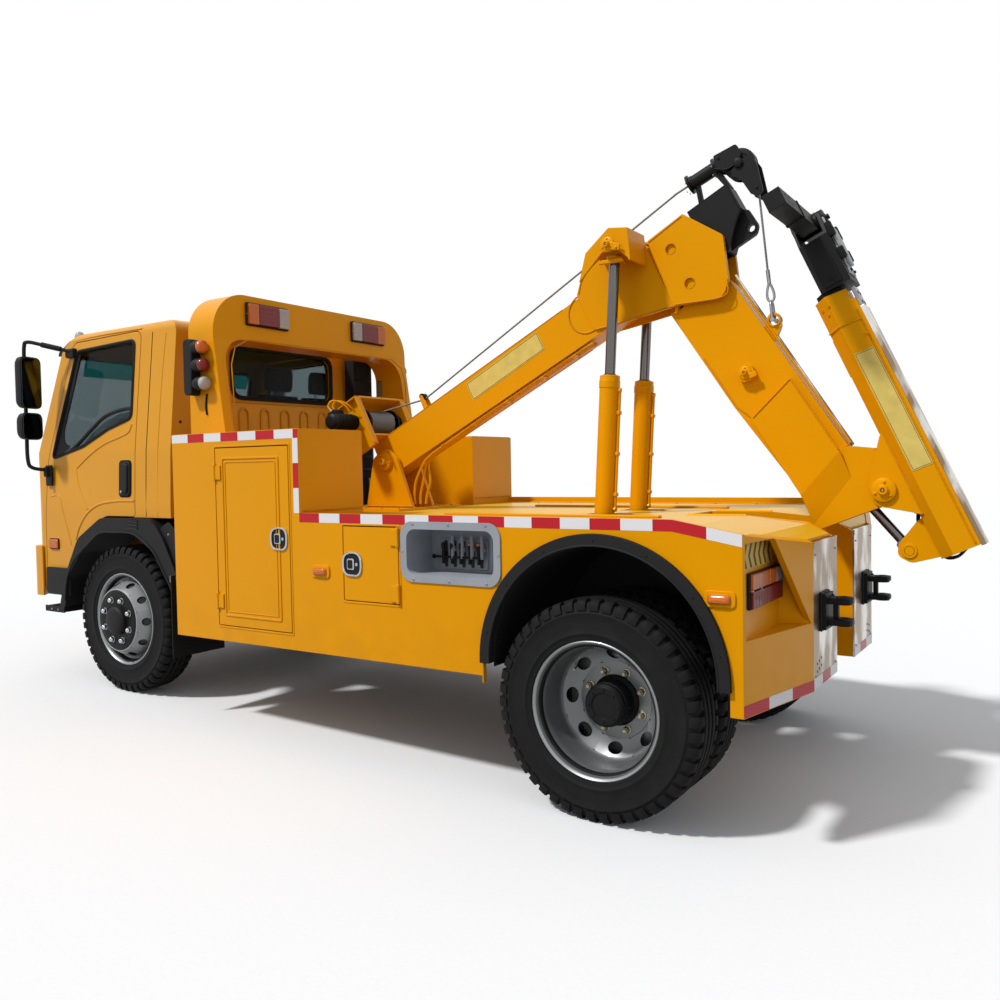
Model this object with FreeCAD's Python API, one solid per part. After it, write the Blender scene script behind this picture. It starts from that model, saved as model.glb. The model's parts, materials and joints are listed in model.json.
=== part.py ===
import FreeCAD, Part
import math
import os
from FreeCAD import Vector

# Tow truck with an integrated boom and a folded underlift. Millimetres.
# Every piece is drawn in the body's own level coordinates: x runs rearward from the front axle,
# y to the truck's right, z up. The body sits RAKE degrees nose-down on its level wheels, so each
# finished shape is turned by RAKE about the rear axle and then moved so that x = 0 is mid-length.

# Driving dimensions
WHEELBASE = 3650.0
RAKE = 1.5
CENTRE_X = 1968.0
TYRE_R = 495.0
TYRE_WIDTH = 235.0
RIM_R = 299.0
GAP = 5.0

# Axles, in body coordinates
REAR_X = WHEELBASE
REAR_Z = TYRE_R
FRONT_X = WHEELBASE * (1 - math.cos(math.radians(RAKE)))
FRONT_Z = TYRE_R + WHEELBASE * math.sin(math.radians(RAKE))
FRONT_TYRE_Y = 868.0
FRONT_DISC_OUT = 142.0
KINGPIN_Y = 700.0
REAR_OUTER_Y = 1058.0
REAR_INNER_Y = 778.0
SPINDLE_R = 60.0
STUB_R = 40.0
RUNNING = 0.05
PIVOT_R = 35.0

# Chassis frame
RAIL_Y = 430.0
RAIL_WIDTH = 80.0
RAIL_BOTTOM = 740.0
RAIL_TOP = 980.0
RAIL_WEB = 8.0

# Service body
SIDE_Y = 1190.0
CABINET_IN_Y = 680.0
CABINET_FRONT = 852.0
CABINET_REAR = {-1: 1908.0, 1: 1742.0}
CABINET_TOP = 1796.0
SKIRT_BOTTOM = 595.0
RIM_TOP = 1343.0
DECK_TOP = 1305.0
WALL = 25.0
ARCH_X = 3683.0
ARCH_Z = 677.0
ARCH_R = 548.0
FLARE_R = 598.0
KINK_X = 4037.0
SIDE_END_X = 4330.0
SIDE_END_TOP = 1288.0
PLATE_X = 4454.0
PLATE_TOP = 1216.0
PLATE_OUT_Y = 616.0
SLOT_Y = 190.0
SLOT_FRONT = 3700.0
POCKET_X = 4325.0

# Doors in the body's sides: (front, rear, bottom, top)
TALL_DOOR = {-1: (1237.0, 1836.0, 684.0, 1712.0), 1: (1237.0, 1670.0, 684.0, 1712.0)}
SMALL_DOOR = (2222.0, 2595.0, 892.0, 1283.0)
RECESS = (2637.0, 3175.0, 1040.0, 1286.0)
LOCKER_DEPTH = 330.0
HINGE_OUT = 9.0
RECESS_DEPTH = 210.0

# Boom
BOOM_X = 1600.0
BOOM_Z = 1620.0
BOOM_ANGLE = 26.9
BOOM_TOP = 157.0
BOOM_DEPTH = 250.0
BOOM_HALF = 78.0
BOOM_WALL = 8.0
BOOM_LENGTH = 2380.0
LIFT_Y = 223.0
LIFT_FOOT = (3240.0, 1215.0)
LIFT_EYE = (3330.0, 2730.0)
LIFT_BARREL_R = 54.0
LIFT_ROD_R = 28.5
LIFT_BARREL_END = 838.0
TILT_ROD_R = 23.0
ARM_HALF = 48.0
SLEEVE_HALF = 88.0
KNUCKLE_HALF = 60.0
SHEAVE = (3946.0, 3105.0)
SHEAVE_R = 72.0
EAR_HOLE = (4002.0, 2772.0)

# Underlift
FOLD_X = 4645.0
FOLD_Z = 1428.0
ARM_ANGLE = 114.6
ARM_MIDDLE = -169.5
ARM_DEPTH = 157.0
BAR_MIDDLE = -215.0
BAR_S = 1334.0
ARM_TAIL = -392.0
ARM_TIP = 955.0
TILT_TOP = (3986.0, 2028.0)
TILT_EYE = (4751.0, 1140.0)

# Cab
CAB_WALL = 45.0
CAB_REAR = 563.0


def box(x0, x1, y0, y1, z0, z1):
    return Part.makeBox(x1 - x0, y1 - y0, z1 - z0, Vector(x0, y0, z0))


def rounded_edges(points, place):
    """Edges of a closed outline; each point is (a, b) or (a, b, corner radius)."""
    corners = []
    count = len(points)
    for index in range(count):
        here = points[index]
        radius = here[2] if len(here) > 2 else 0.0
        a, b = here[0], here[1]
        if radius <= 0:
            corners.append(((a, b), None, (a, b)))
            continue
        before, after = points[index - 1], points[(index + 1) % count]
        in_a, in_b = before[0] - a, before[1] - b
        out_a, out_b = after[0] - a, after[1] - b
        in_len, out_len = math.hypot(in_a, in_b), math.hypot(out_a, out_b)
        in_a, in_b, out_a, out_b = in_a / in_len, in_b / in_len, out_a / out_len, out_b / out_len
        half = math.acos(max(-1.0, min(1.0, in_a * out_a + in_b * out_b))) / 2
        reach = min(radius / math.tan(half), 0.49 * in_len, 0.49 * out_len)
        radius = reach * math.tan(half)
        mid_a, mid_b = in_a + out_a, in_b + out_b
        mid_len = math.hypot(mid_a, mid_b)
        depth = radius / math.sin(half) - radius
        middle = (a + mid_a / mid_len * depth, b + mid_b / mid_len * depth)
        corners.append(((a + in_a * reach, b + in_b * reach), middle, (a + out_a * reach, b + out_b * reach)))
    edges = []
    for index in range(count):
        start, middle, end = corners[index]
        if middle:
            edges.append(Part.Arc(place(*start), place(*middle), place(*end)).toShape())
        following = corners[(index + 1) % count][0]
        if math.dist(end, following) > 1e-6:
            edges.append(Part.LineSegment(place(*end), place(*following)).toShape())
    return edges


def prism(points, place, push):
    return Part.Face(Part.Wire(rounded_edges(points, place))).extrude(push)


def outline_wire(points, y):
    return Part.Wire(rounded_edges(points, lambda a, b: Vector(a, y, b)))


def prism_y(points, y0, y1):
    """An outline of (x, z) points, thick from y0 to y1."""
    return prism(points, lambda a, b: Vector(a, y0, b), Vector(0, y1 - y0, 0))


def prism_x(points, x0, x1):
    """An outline of (y, z) points, thick from x0 to x1."""
    return prism(points, lambda a, b: Vector(x0, a, b), Vector(x1 - x0, 0, 0))


def prism_z(points, z0, z1):
    """An outline of (x, y) points, thick from z0 to z1."""
    return prism(points, lambda a, b: Vector(a, b, z0), Vector(0, 0, z1 - z0))


def rectangle(a0, a1, b0, b1, radius=0.0):
    return [(a0, b0, radius), (a1, b0, radius), (a1, b1, radius), (a0, b1, radius)]


def inset(points, distance):
    """The same convex outline, its sides moved inward by distance."""
    count = len(points)
    area = sum(points[i - 1][0] * points[i][1] - points[i][0] * points[i - 1][1] for i in range(count))
    turn = 1.0 if area > 0 else -1.0
    lines = []
    for index in range(count):
        a, b = points[index], points[(index + 1) % count]
        run = math.hypot(b[0] - a[0], b[1] - a[1])
        lean = (-(b[1] - a[1]) / run * turn * distance, (b[0] - a[0]) / run * turn * distance)
        lines.append(((a[0] + lean[0], a[1] + lean[1]), (b[0] - a[0], b[1] - a[1])))
    moved = []
    for index in range(count):
        (p, u), (q, v) = lines[index - 1], lines[index]
        cross = u[0] * v[1] - u[1] * v[0]
        along = ((q[0] - p[0]) * v[1] - (q[1] - p[1]) * v[0]) / cross
        radius = points[index][2] if len(points[index]) > 2 else 0.0
        moved.append((p[0] + u[0] * along, p[1] + u[1] * along, max(radius - distance, 0.0)))
    return moved


def rod(start, end, radius):
    start, end = Vector(*start), Vector(*end)
    run = end.sub(start)
    return Part.makeCylinder(radius, run.Length, start, run)


def ring(start, end, outer, inner):
    start, end = Vector(*start), Vector(*end)
    return rod(start, end, outer).cut(rod(start, end, inner))


def crosswise(x, z, y0, y1, radius):
    """A cylinder along the truck's width."""
    return rod((x, y0, z), (x, y1, z), radius)


def joined(shapes):
    result = shapes[0].multiFuse(shapes[1:]) if len(shapes) > 1 else shapes[0]
    return result.removeSplitter()


def group(shapes):
    return Part.makeCompound(shapes)


def mirrored(shape):
    return shape.mirror(Vector(0, 0, 0), Vector(0, 1, 0))


def on_side(shape, side):
    """Shapes are drawn on the left, side -1; side 1 is the right."""
    return shape if side < 0 else mirrored(shape)


def pair(shape):
    return [shape, mirrored(shape)]


def laid(shape, origin, angle):
    """Drawn along +x, turned up by angle in the side view, and moved to origin (x, z)."""
    turned = shape.copy()
    turned.rotate(Vector(0, 0, 0), Vector(0, -1, 0), angle)
    turned.translate(Vector(origin[0], 0, origin[1]))
    return turned


def tube_path(points, radius):
    """A round bar through points, with a ball at each bend."""
    pieces = [rod(points[i], points[i + 1], radius) for i in range(len(points) - 1)]
    balls = [Part.makeSphere(radius, Vector(*p)) for p in points[1:-1]]
    return joined(pieces + balls)


# ---------------------------------------------------------------- chassis

def frame_rails():
    rail = box(-880, 4200, -RAIL_Y, -RAIL_Y + RAIL_WIDTH, RAIL_BOTTOM, RAIL_TOP)
    hollow = box(-900, 4300, -RAIL_Y + RAIL_WEB, -RAIL_Y + RAIL_WIDTH + 1,
                 RAIL_BOTTOM + RAIL_WEB, RAIL_TOP - RAIL_WEB)
    rail = rail.cut(hollow)
    inner = RAIL_Y - RAIL_WEB
    crossmembers = [box(x, x + 90, -inner, inner, RAIL_TOP - 85, RAIL_TOP - 15)
                    for x in (-860, 1200, 1900, 2500, 3050)]
    return joined(pair(rail) + crossmembers)


def leaf_spring(x, z, reach, rise, width, leaves):
    """Stacked leaves, shorter towards the bottom, with the longest leaf's eyes at its ends."""
    thick = 14.0
    pieces = []
    for leaf in range(leaves):
        half = reach * (1 - 0.8 * leaf / leaves)
        top = z + (leaves - leaf) * thick
        sag = rise * half / reach
        pieces.append(prism_y([(x - half, top - thick + sag), (x, top - thick), (x + half, top - thick + sag),
                               (x + half, top + sag), (x, top), (x - half, top + sag)], -width / 2, width / 2))
    for end in (-1, 1):
        pieces.append(crosswise(x + end * (reach + 12), z + leaves * thick + rise - 7, -width / 2, width / 2, 24))
    return joined(pieces)


def front_axle():
    beam = joined([box(FRONT_X - 45, FRONT_X + 45, -560, 560, FRONT_Z - 85, FRONT_Z - 5)]
                  + pair(box(FRONT_X - 42, FRONT_X + 42, -655, -520, FRONT_Z - 85, FRONT_Z + 30))
                  + pair(rod((FRONT_X, -KINGPIN_Y, FRONT_Z - 52), (FRONT_X, -KINGPIN_Y, FRONT_Z + 52), 52)))
    bore = group(pair(rod((FRONT_X, -KINGPIN_Y, FRONT_Z - 90), (FRONT_X, -KINGPIN_Y, FRONT_Z + 90), 24 + RUNNING)))
    beam = beam.cut(bore)
    pieces = [beam]
    for side in (-1, 1):
        spring = leaf_spring(FRONT_X, FRONT_Z - 5, 640, 62, 75, 4)
        spring.translate(Vector(0, side * (RAIL_Y - 40), 0))
        pieces.append(spring)
    return joined(pieces)


def rear_axle():
    tube = joined([crosswise(REAR_X, REAR_Z, -640, 640, 68),
                   crosswise(REAR_X, REAR_Z, -940, 940, SPINDLE_R)])
    bowl = Part.makeSphere(185, Vector(REAR_X, 0, REAR_Z))
    bowl = bowl.common(box(REAR_X - 190, REAR_X + 130, -190, 190, REAR_Z - 190, REAR_Z + 190))
    pieces = [tube, bowl, rod((REAR_X - 330, 0, REAR_Z + 25), (REAR_X - 150, 0, REAR_Z), 62)]
    for side in (-1, 1):
        spring = leaf_spring(REAR_X, REAR_Z + 64, 620, 62, 80, 7)
        spring.translate(Vector(0, side * (RAIL_Y - 40), 0))
        pieces.append(spring)
    pieces.append(rod((1156, 0, 830), (REAR_X - 330, 0, REAR_Z + 25), 42))
    return joined(pieces)


def engine_block():
    return joined([box(-120, 720, -300, 300, 640, 1225), box(720, 1150, -190, 190, 690, 985)])


def fuel_tank():
    return prism_x(rectangle(448, 662, 640, 955, 40), 1010, 1700)


def air_tank():
    return joined([rod((1050, -560, 800), (1650, -560, 800), 105),
                   box(1120, 1160, -560, -430, 780, 900), box(1540, 1580, -560, -430, 780, 900)])


# ---------------------------------------------------------------- cab

CAB_SIDE = [(-1000, 765, 30), (-1030, 1120, 80), (-1005, 1560, 160), (-722, 2470, 120), (-560, 2575, 150),
            (300, 2612, 400), (CAB_REAR - 10, 2540, 90), (CAB_REAR, 1280, 30), (CAB_REAR, 765, 10)]
CAB_FRONT = [(-990, 765), (-1000, 1350, 500), (-985, 1720, 300), (-900, 2570, 75), (0, 2640, 2600),
             (900, 2570, 75), (985, 1720, 300), (1000, 1350, 500), (990, 765)]
CAB_PLAN = [(-1035, -860, 150), (-960, -1000, 110), (CAB_REAR, -1000, 70), (CAB_REAR, 1000, 70),
            (-960, 1000, 110), (-1035, 860, 150), (-1060, 0, 3000)]
CAB_UNDER = [(-660, 700), (-590, 860, 60), (-420, 1130, 160), (-140, 1283, 160), (700, 1283), (700, 700)]
CAB_UNDER_INSIDE = [(-720, 800), (-640, 880, 60), (-460, 1170, 160), (-160, 1328, 160), (700, 1328), (700, 600),
                    (-720, 600)]
DOOR_OUTLINE = [(-878, 782, 20), (-866, 1200, 300), (-822, 1680, 200), (-590, 2505, 70), (189, 2522, 60),
                (192, 1287, 25), (-140, 1287, 150), (-424, 1134, 150), (-594, 862, 60), (-640, 782, 15)]
DOOR_WINDOW = [(-765, 1692, 25), (-720, 1850, 200), (-540, 2440, 60), (122, 2462, 45), (132, 1945, 50),
               (-120, 1880, 150), (-400, 1770, 150)]


def cab_block(distance):
    side = prism_y(inset(CAB_SIDE, distance), -1100, 1100)
    front = prism_x(inset(CAB_FRONT, distance), -1200, 700)
    plan = prism_z(inset(CAB_PLAN, distance), 700, 2700)
    return side.common(front).common(plan)


def cab_skin():
    """The cab's wall, with a tunnel over the frame rails."""
    tunnel, tunnel_inside = box(-950, -300, -450, 450, 690, 1000), box(-955, -300, -495, 495, 690, 1045)
    outer = cab_block(0).cut(prism_y(CAB_UNDER, -1100, 1100)).cut(tunnel)
    inner = cab_block(CAB_WALL).cut(prism_y(CAB_UNDER_INSIDE, -1100, 1100)).cut(tunnel_inside)
    return outer.cut(inner)


def door_zone(distance, side):
    """The door's outline, deep enough for the wall and no deeper, so that the floor stays whole."""
    zone = prism_y(inset(DOOR_OUTLINE, distance), -1100, -850)
    return on_side(zone.cut(box(-1000, 300, -949, -800, 700, 1500)), side)


WINDSCREEN = [(-868, 1650, 90), (868, 1650, 90), (815, 2420, 90), (-815, 2420, 90)]
REAR_WINDOW = rectangle(-473, 473, 2086, 2418, 90)


def cab_shell(skin):
    shell = skin.cut(prism_x(WINDSCREEN, -1200, -560)).cut(prism_x(REAR_WINDOW, 400, 700))
    for side in (-1, 1):
        shell = shell.cut(door_zone(-4, side))
    return shell


def cab_door(skin, side):
    window = on_side(prism_y(DOOR_WINDOW, -1100, -760), side)
    return skin.common(door_zone(2, side)).cut(window)


def glazing():
    return cab_block(14).cut(cab_block(19))


def cab_glass(pane):
    screen = pane.common(prism_x(inset(WINDSCREEN, 1), -1200, -560))
    rear = pane.common(prism_x(inset(REAR_WINDOW, 1), 400, 700))
    return group([screen, rear])


def door_glass(pane, side):
    return pane.common(on_side(prism_y(inset(DOOR_WINDOW, 1), -1100, -760), side))


def seat(y0, y1):
    base = prism_y([(-330, 1330, 20), (230, 1330, 20), (230, 1560, 40), (-330, 1590, 60)], y0, y1)
    back = prism_y([(235, 1560, 20), (330, 1560, 20), (440, 2120, 40), (330, 2140, 40)], y0, y1)
    return [base, back]


def cab_seats():
    return group(seat(-760, -270) + seat(-130, 760))


def dashboard():
    desk = prism_y([(-905, 1340, 20), (-700, 1340, 20), (-600, 1600, 60), (-700, 1760, 60), (-905, 1690, 30)],
                   -800, 800)
    column = rod((-690, -480, 1640), (-470, -480, 1800), 30)
    wheel = Part.makeTorus(200, 16, Vector(-455, -480, 1812), Vector(0.81, 0, 0.59))
    spokes = box(-475, -445, -660, -300, 1795, 1822)
    return joined([desk, column, wheel, spokes])


def front_bumper():
    plan = [(-1100, -820, 150), (-1020, -1010, 70), (-905, -1012, 10), (-905, -1001), (-1010, -900),
            (-1050, -780), (-1050, 780), (-1010, 900), (-905, 1001), (-905, 1012, 10), (-1020, 1010, 70),
            (-1100, 820, 150)]
    bar = prism_z(plan, 700, 1060)
    return bar.cut(cab_block(-1).cut(prism_z(rectangle(-1040, -880, -700, 700), 600, 700)))


def front_arches():
    """Black arch trims, steps and mudguards ahead of and behind the front wheels."""
    outer = [(-664, 640), (-598, 860, 60), (-428, 1125, 160), (-146, 1277, 160), (372, 1279, 60), (460, 1220, 60),
             (520, 1150), (640, 940), (690, 640)]
    inner = [(-600, 640), (-560, 850, 80), (-390, 1030, 160), (-150, 1180, 160), (200, 1180, 160), (430, 1060, 120),
             (600, 830, 100), (650, 640)]
    arch = prism_y(outer, -1035, -690).cut(prism_y(inner, -1100, -500))
    cab = cab_block(-0.3).cut(prism_y(CAB_UNDER, -1100, 1100))
    return group(pair(arch.cut(cab).cut(door_zone(-5, -1))))


def cab_steps():
    step = joined([box(-900, -668, -1000, -760, 590, 625), box(-900, -668, -790, -760, 590, 764.5)])
    return group(pair(step))


def mud_flaps():
    front = box(742, 750, -1150, -760, 430, 940)
    return group(pair(front))


MIRROR_TURN = 15.0


def mirror(side):
    """Upper and lower glasses on one tubular arm carried by the door's front edge."""
    arm = tube_path([(-560, -930, 2440), (-830, -1130, 2520), (-840, -1130, 1640), (-790, -1000, 1610)], 14)
    glasses = group([prism_x(rectangle(-1228, -1053, 2045, 2400, 45), -815, -745),
                     prism_x(rectangle(-1228, -1053, 1825, 2010, 50), -815, -745)])
    glasses.rotate(Vector(-780, -1140, 0), Vector(0, 0, 1), MIRROR_TURN)
    stem = box(-830, -810, -1145, -1115, 1840, 2390)
    foot = box(-815, -750, -1012, -988, 1500, 1640)
    return on_side(joined([arm, stem, foot] + glasses.Solids).cut(cab_block(-0.3)), side)


def air_intake():
    return prism_x(rectangle(610, 815, 1500, 2470, 60), 590, 680)


# ---------------------------------------------------------------- service body

def side_opening(front, rear, bottom, top, depth=60.0, radius=8.0):
    return prism_y(rectangle(front, rear, bottom, top, radius), -SIDE_Y - 20, -SIDE_Y + depth)


def body_side(side):
    """One side of the service body: tall cabinet, low lockers, wheel arch and rear corner."""
    rear = CABINET_REAR[side]
    tall = box(CABINET_FRONT, rear, -SIDE_Y, -CABINET_IN_Y, SKIRT_BOTTOM, CABINET_TOP)
    tall = tall.cut(box(CABINET_FRONT + WALL, rear - WALL, -SIDE_Y + WALL, -CABINET_IN_Y - WALL,
                        SKIRT_BOTTOM + WALL, CABINET_TOP - WALL))
    front, back, bottom, top = TALL_DOOR[side]
    tall = tall.cut(side_opening(front, back, bottom, top))
    panel = prism_y([(rear - 1, SKIRT_BOTTOM), (3085, SKIRT_BOTTOM), (3085, 560), (SIDE_END_X, 560),
                     (SIDE_END_X, SIDE_END_TOP), (KINK_X, RIM_TOP), (rear - 1, RIM_TOP)], -SIDE_Y, -SIDE_Y + WALL)
    panel = panel.cut(crosswise(ARCH_X, ARCH_Z, -1300, -1000, FLARE_R - 6))
    panel = panel.cut(box(ARCH_X - FLARE_R + 6, ARCH_X + FLARE_R - 6, -1300, -1000, 500, ARCH_Z))
    front, back, bottom, top = SMALL_DOOR
    locker = box(front - WALL, back + WALL, -SIDE_Y + 1, -SIDE_Y + LOCKER_DEPTH, bottom - WALL, top + 9)
    locker = locker.cut(box(front, back, -SIDE_Y - 1, -SIDE_Y + LOCKER_DEPTH - WALL, bottom, top))
    panel = panel.cut(side_opening(front, back, bottom, top))
    front, back, bottom, top = RECESS
    panel = panel.cut(side_opening(front, back, bottom, top, radius=60))
    corner = prism_z([(SIDE_END_X - WALL, -SIDE_Y), (SIDE_END_X, -SIDE_Y), (PLATE_X, -PLATE_OUT_Y),
                      (PLATE_X - WALL, -PLATE_OUT_Y)], 560, 1300)
    corner = corner.common(prism_y([(4200, 500), (4500, 500), (4500, 1190), (SIDE_END_X, 1284), (4200, 1300)],
                                   -1300, 0))
    pocket = prism_x([(-1172, 866), (-1172, 1250), (-945, 1258), (-640, 866)], POCKET_X, 4500)
    corner = corner.cut(pocket)
    shelf = prism_z([(POCKET_X - 20, -1166), (POCKET_X, -1166), (4440, -640), (4425, -640), (POCKET_X - 20, -705)],
                    850, 866)
    backing = box(POCKET_X - 20, POCKET_X, -1166, -705, 850, 1254)
    cheek = prism_z([(POCKET_X - 20, -713), (POCKET_X - 20, -705), (4430, -640), (4440, -640), (4440, -648)], 850, 1190)
    arch = joined([crosswise(ARCH_X, ARCH_Z, -SIDE_Y + WALL + 0.3, -590, ARCH_R + 8.5),
                   box(ARCH_X - ARCH_R - 8.5, ARCH_X + ARCH_R + 8.5, -SIDE_Y + WALL + 0.3, -590, 500, ARCH_Z)])
    rear_wall = box(PLATE_X - WALL, PLATE_X - 8, -PLATE_OUT_Y, -SLOT_Y, 564, 1210)
    slot_wall = prism_y([(SLOT_FRONT, 1000), (3900, 1000), (4100, 564), (PLATE_X - 8, 564), (PLATE_X - 8, 1210),
                         (SIDE_END_X, SIDE_END_TOP - 10), (KINK_X, DECK_TOP), (SLOT_FRONT, DECK_TOP)],
                        -SLOT_Y - 20, -SLOT_Y)
    shape = joined([tall, panel, locker, corner, shelf, backing, cheek, rear_wall, slot_wall])
    return on_side(shape.cut(arch), side)


def deck():
    """The deck floor between the rims, with the barrels' openings, and its sloping tail."""
    inner = SIDE_Y - WALL - 1
    low = box(1912, KINK_X, -inner, inner, DECK_TOP - 12, DECK_TOP)
    front = box(CABINET_FRONT, 1912, -CABINET_IN_Y + 2, CABINET_IN_Y - 2, DECK_TOP - 12, DECK_TOP)
    right_fill = box(1746, 1912, CABINET_IN_Y - 2, inner, DECK_TOP - 12, DECK_TOP)
    floor = joined([low, front, right_fill])
    floor = floor.cut(box(SLOT_FRONT, KINK_X + 10, -SLOT_Y - 21, SLOT_Y + 21, 1200, 1400))
    for side in (-1, 1):
        floor = floor.cut(box(3150, 3440, side * LIFT_Y - 75, side * LIFT_Y + 75, 1200, 1400))
    beams = [box(CABINET_FRONT, 3690, side * 390 - 40, side * 390 + 40, RAIL_TOP, DECK_TOP - 12)
             for side in (-1, 1)]
    lugs = []
    for side in (-1, 1):
        lug = prism_y([(LIFT_FOOT[0] - 75, DECK_TOP - 6), (LIFT_FOOT[0] - 45, LIFT_FOOT[1] - 60, 40),
                       (LIFT_FOOT[0] + 45, LIFT_FOOT[1] - 60, 40), (LIFT_FOOT[0] + 75, DECK_TOP - 6)],
                      side * 320 - 14, side * 320 + 14)
        lugs.append(lug.cut(crosswise(LIFT_FOOT[0], LIFT_FOOT[1], -400, 400, 32 + RUNNING)))
    plan = [(KINK_X, -SIDE_Y + WALL + 1), (SIDE_END_X - 30, -SIDE_Y + WALL + 1), (PLATE_X - 30, -PLATE_OUT_Y - 10),
            (PLATE_X - 30, -SLOT_Y - 21), (KINK_X, -SLOT_Y - 21)]
    slab = prism_y([(KINK_X, DECK_TOP - 12), (SIDE_END_X, SIDE_END_TOP - 30), (PLATE_X, 1200), (PLATE_X, 1214),
                    (SIDE_END_X, SIDE_END_TOP - 16), (KINK_X, DECK_TOP)], -SIDE_Y, -SLOT_Y)
    tail = slab.common(prism_z(plan, 1000, 1400))
    return joined([floor] + beams + lugs + pair(tail))


def locker_door(side, outline, hinge_x):
    """A leaf with two hinge barrels on its outer face at hinge_x."""
    front, rear, bottom, top = outline
    leaf = prism_y(rectangle(front + GAP, rear - GAP, bottom + GAP, top - GAP, 6), -SIDE_Y - 2, -SIDE_Y + WALL - 2)
    inward = 50 if hinge_x < (front + rear) / 2 else -50
    pieces = [leaf]
    for share in (0.14, 0.86):
        z = bottom + share * (top - bottom)
        pieces.append(rod((hinge_x, -SIDE_Y - HINGE_OUT, z - 45), (hinge_x, -SIDE_Y - HINGE_OUT, z + 45), 8))
        pieces.append(box(min(hinge_x, hinge_x + inward), max(hinge_x, hinge_x + inward),
                          -SIDE_Y - HINGE_OUT - 2, -SIDE_Y - 1, z - 40, z + 40))
    return on_side(joined(pieces), side)


def control_panels():
    front, rear, bottom, top = RECESS
    lip = prism_y(rectangle(front - 26, rear + 26, bottom - 26, top + 26, 70), -SIDE_Y - 8, -SIDE_Y - 0.5)
    tray = prism_y(rectangle(front + 2, rear - 2, bottom + 2, top - 2, 58), -SIDE_Y - 4, -SIDE_Y + RECESS_DEPTH)
    hollow = prism_y(rectangle(front + 12, rear - 12, bottom + 12, top - 12, 50),
                     -SIDE_Y - 20, -SIDE_Y + RECESS_DEPTH - 10)
    body = joined([lip, tray]).cut(hollow)
    levers = []
    for index in range(5):
        x = 2800 + 60 * index
        levers.append(rod((x, -SIDE_Y + RECESS_DEPTH - 12, 1165), (x, -SIDE_Y + RECESS_DEPTH - 40, 1165), 14))
        levers.append(rod((x, -SIDE_Y + RECESS_DEPTH - 40, 1120), (x, -SIDE_Y + RECESS_DEPTH - 40, 1235), 10))
    shape = joined([body] + levers)
    return group(pair(shape))


def rear_arch_flares():
    """Black lips around the rear arches with the mudguards inside them."""
    outer = prism_y([(ARCH_X - FLARE_R, 660), (ARCH_X - FLARE_R, ARCH_Z), (ARCH_X + FLARE_R, ARCH_Z),
                     (ARCH_X + FLARE_R, 660)], -SIDE_Y - 22, -SIDE_Y + WALL)
    outer = joined([outer, crosswise(ARCH_X, ARCH_Z, -SIDE_Y - 22, -SIDE_Y + WALL, FLARE_R)])
    hollow = joined([crosswise(ARCH_X, ARCH_Z, -1300, -600, ARCH_R),
                     box(ARCH_X - ARCH_R, ARCH_X + ARCH_R, -1300, -600, 400, ARCH_Z)])
    liner = joined([crosswise(ARCH_X, ARCH_Z, -SIDE_Y + WALL, -600, ARCH_R + 8),
                    box(ARCH_X - ARCH_R - 8, ARCH_X + ARCH_R + 8, -SIDE_Y + WALL, -600, 900 - 240, ARCH_Z)])
    lip = outer.cut(crosswise(ARCH_X, ARCH_Z, -SIDE_Y + 0.0, -SIDE_Y + WALL + 1, FLARE_R + 5))
    lip = lip.cut(box(3000, 4400, -SIDE_Y, -SIDE_Y + WALL + 1, 600, 700))
    skirt = joined([crosswise(ARCH_X, ARCH_Z, -SIDE_Y, -SIDE_Y + WALL, FLARE_R - 10),
                    box(ARCH_X - FLARE_R + 10, ARCH_X + FLARE_R - 10, -SIDE_Y, -SIDE_Y + WALL, 660, ARCH_Z)])
    flare = joined([lip, skirt, liner]).cut(hollow).cut(box(3000, 4400, -1300, -500, -100, 660))
    return group(pair(flare))


def rear_plates():
    plate = box(PLATE_X - 8, PLATE_X, -PLATE_OUT_Y, -SLOT_Y + 2, 564, PLATE_TOP)
    return group(pair(plate))


def tow_brackets():
    """A clevis with upright pin holes on each rear plate."""
    y, z = -440.0, 896.0
    base = box(PLATE_X, PLATE_X + 26, y - 70, y + 70, z - 80, z + 80)
    ears = [box(PLATE_X + 20, PLATE_X + 122, y - 42, y + 42, z + low, z + low + 28) for low in (-62, 34)]
    ears = [ear.cut(rod((PLATE_X + 88, y, z - 100), (PLATE_X + 88, y, z + 100), 18)) for ear in ears]
    return group(pair(joined([base] + ears)))


def lamps():
    """Tail lamps, gantry lamps and side markers: like pieces, all on the body."""
    pieces = []
    for side in (-1, 1):
        tail = box(POCKET_X + 0.3, POCKET_X + 27, -1133, -716, 982, 1130)
        high = prism_x(rectangle(-662, -318, 2518, 2647, 12), 931.5, 968)
        marks = [prism_y(rectangle(x - 50, x + 50, z - 22, z + 22, 12), -SIDE_Y - 26, -SIDE_Y - 0.3)
                 for x, z in ((2058, 1036), (4236, 1030))]
        rounds = [rod((800, -966, z), (x, -966, z), 37) for x, z in ((889, 2347), (897, 2236), (905, 2122))]
        bracket = box(712, 800, -972, -927.5, 2060, 2400)
        pieces += [on_side(s, side) for s in [tail, high] + marks + [joined([bracket] + rounds)]]
    return group(pieces)


def gantry():
    """Arch behind the cab: two legs, wider towards the foot, and a deep head."""
    outer = prism_x([(-927, CABINET_TOP), (-927, 2699, 255), (927, 2699, 255), (927, CABINET_TOP)], 694, 1040)
    inner = prism_x([(-853, 1700), (-853, 2412, 160), (853, 2412, 160), (853, 1700)], 600, 1100)
    side_view = prism_y([(694, CABINET_TOP), (1022, CABINET_TOP), (931, 2400), (931, 2720), (694, 2720)], -1000, 1000)
    return outer.cut(inner).common(side_view)


# ---------------------------------------------------------------- boom

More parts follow.
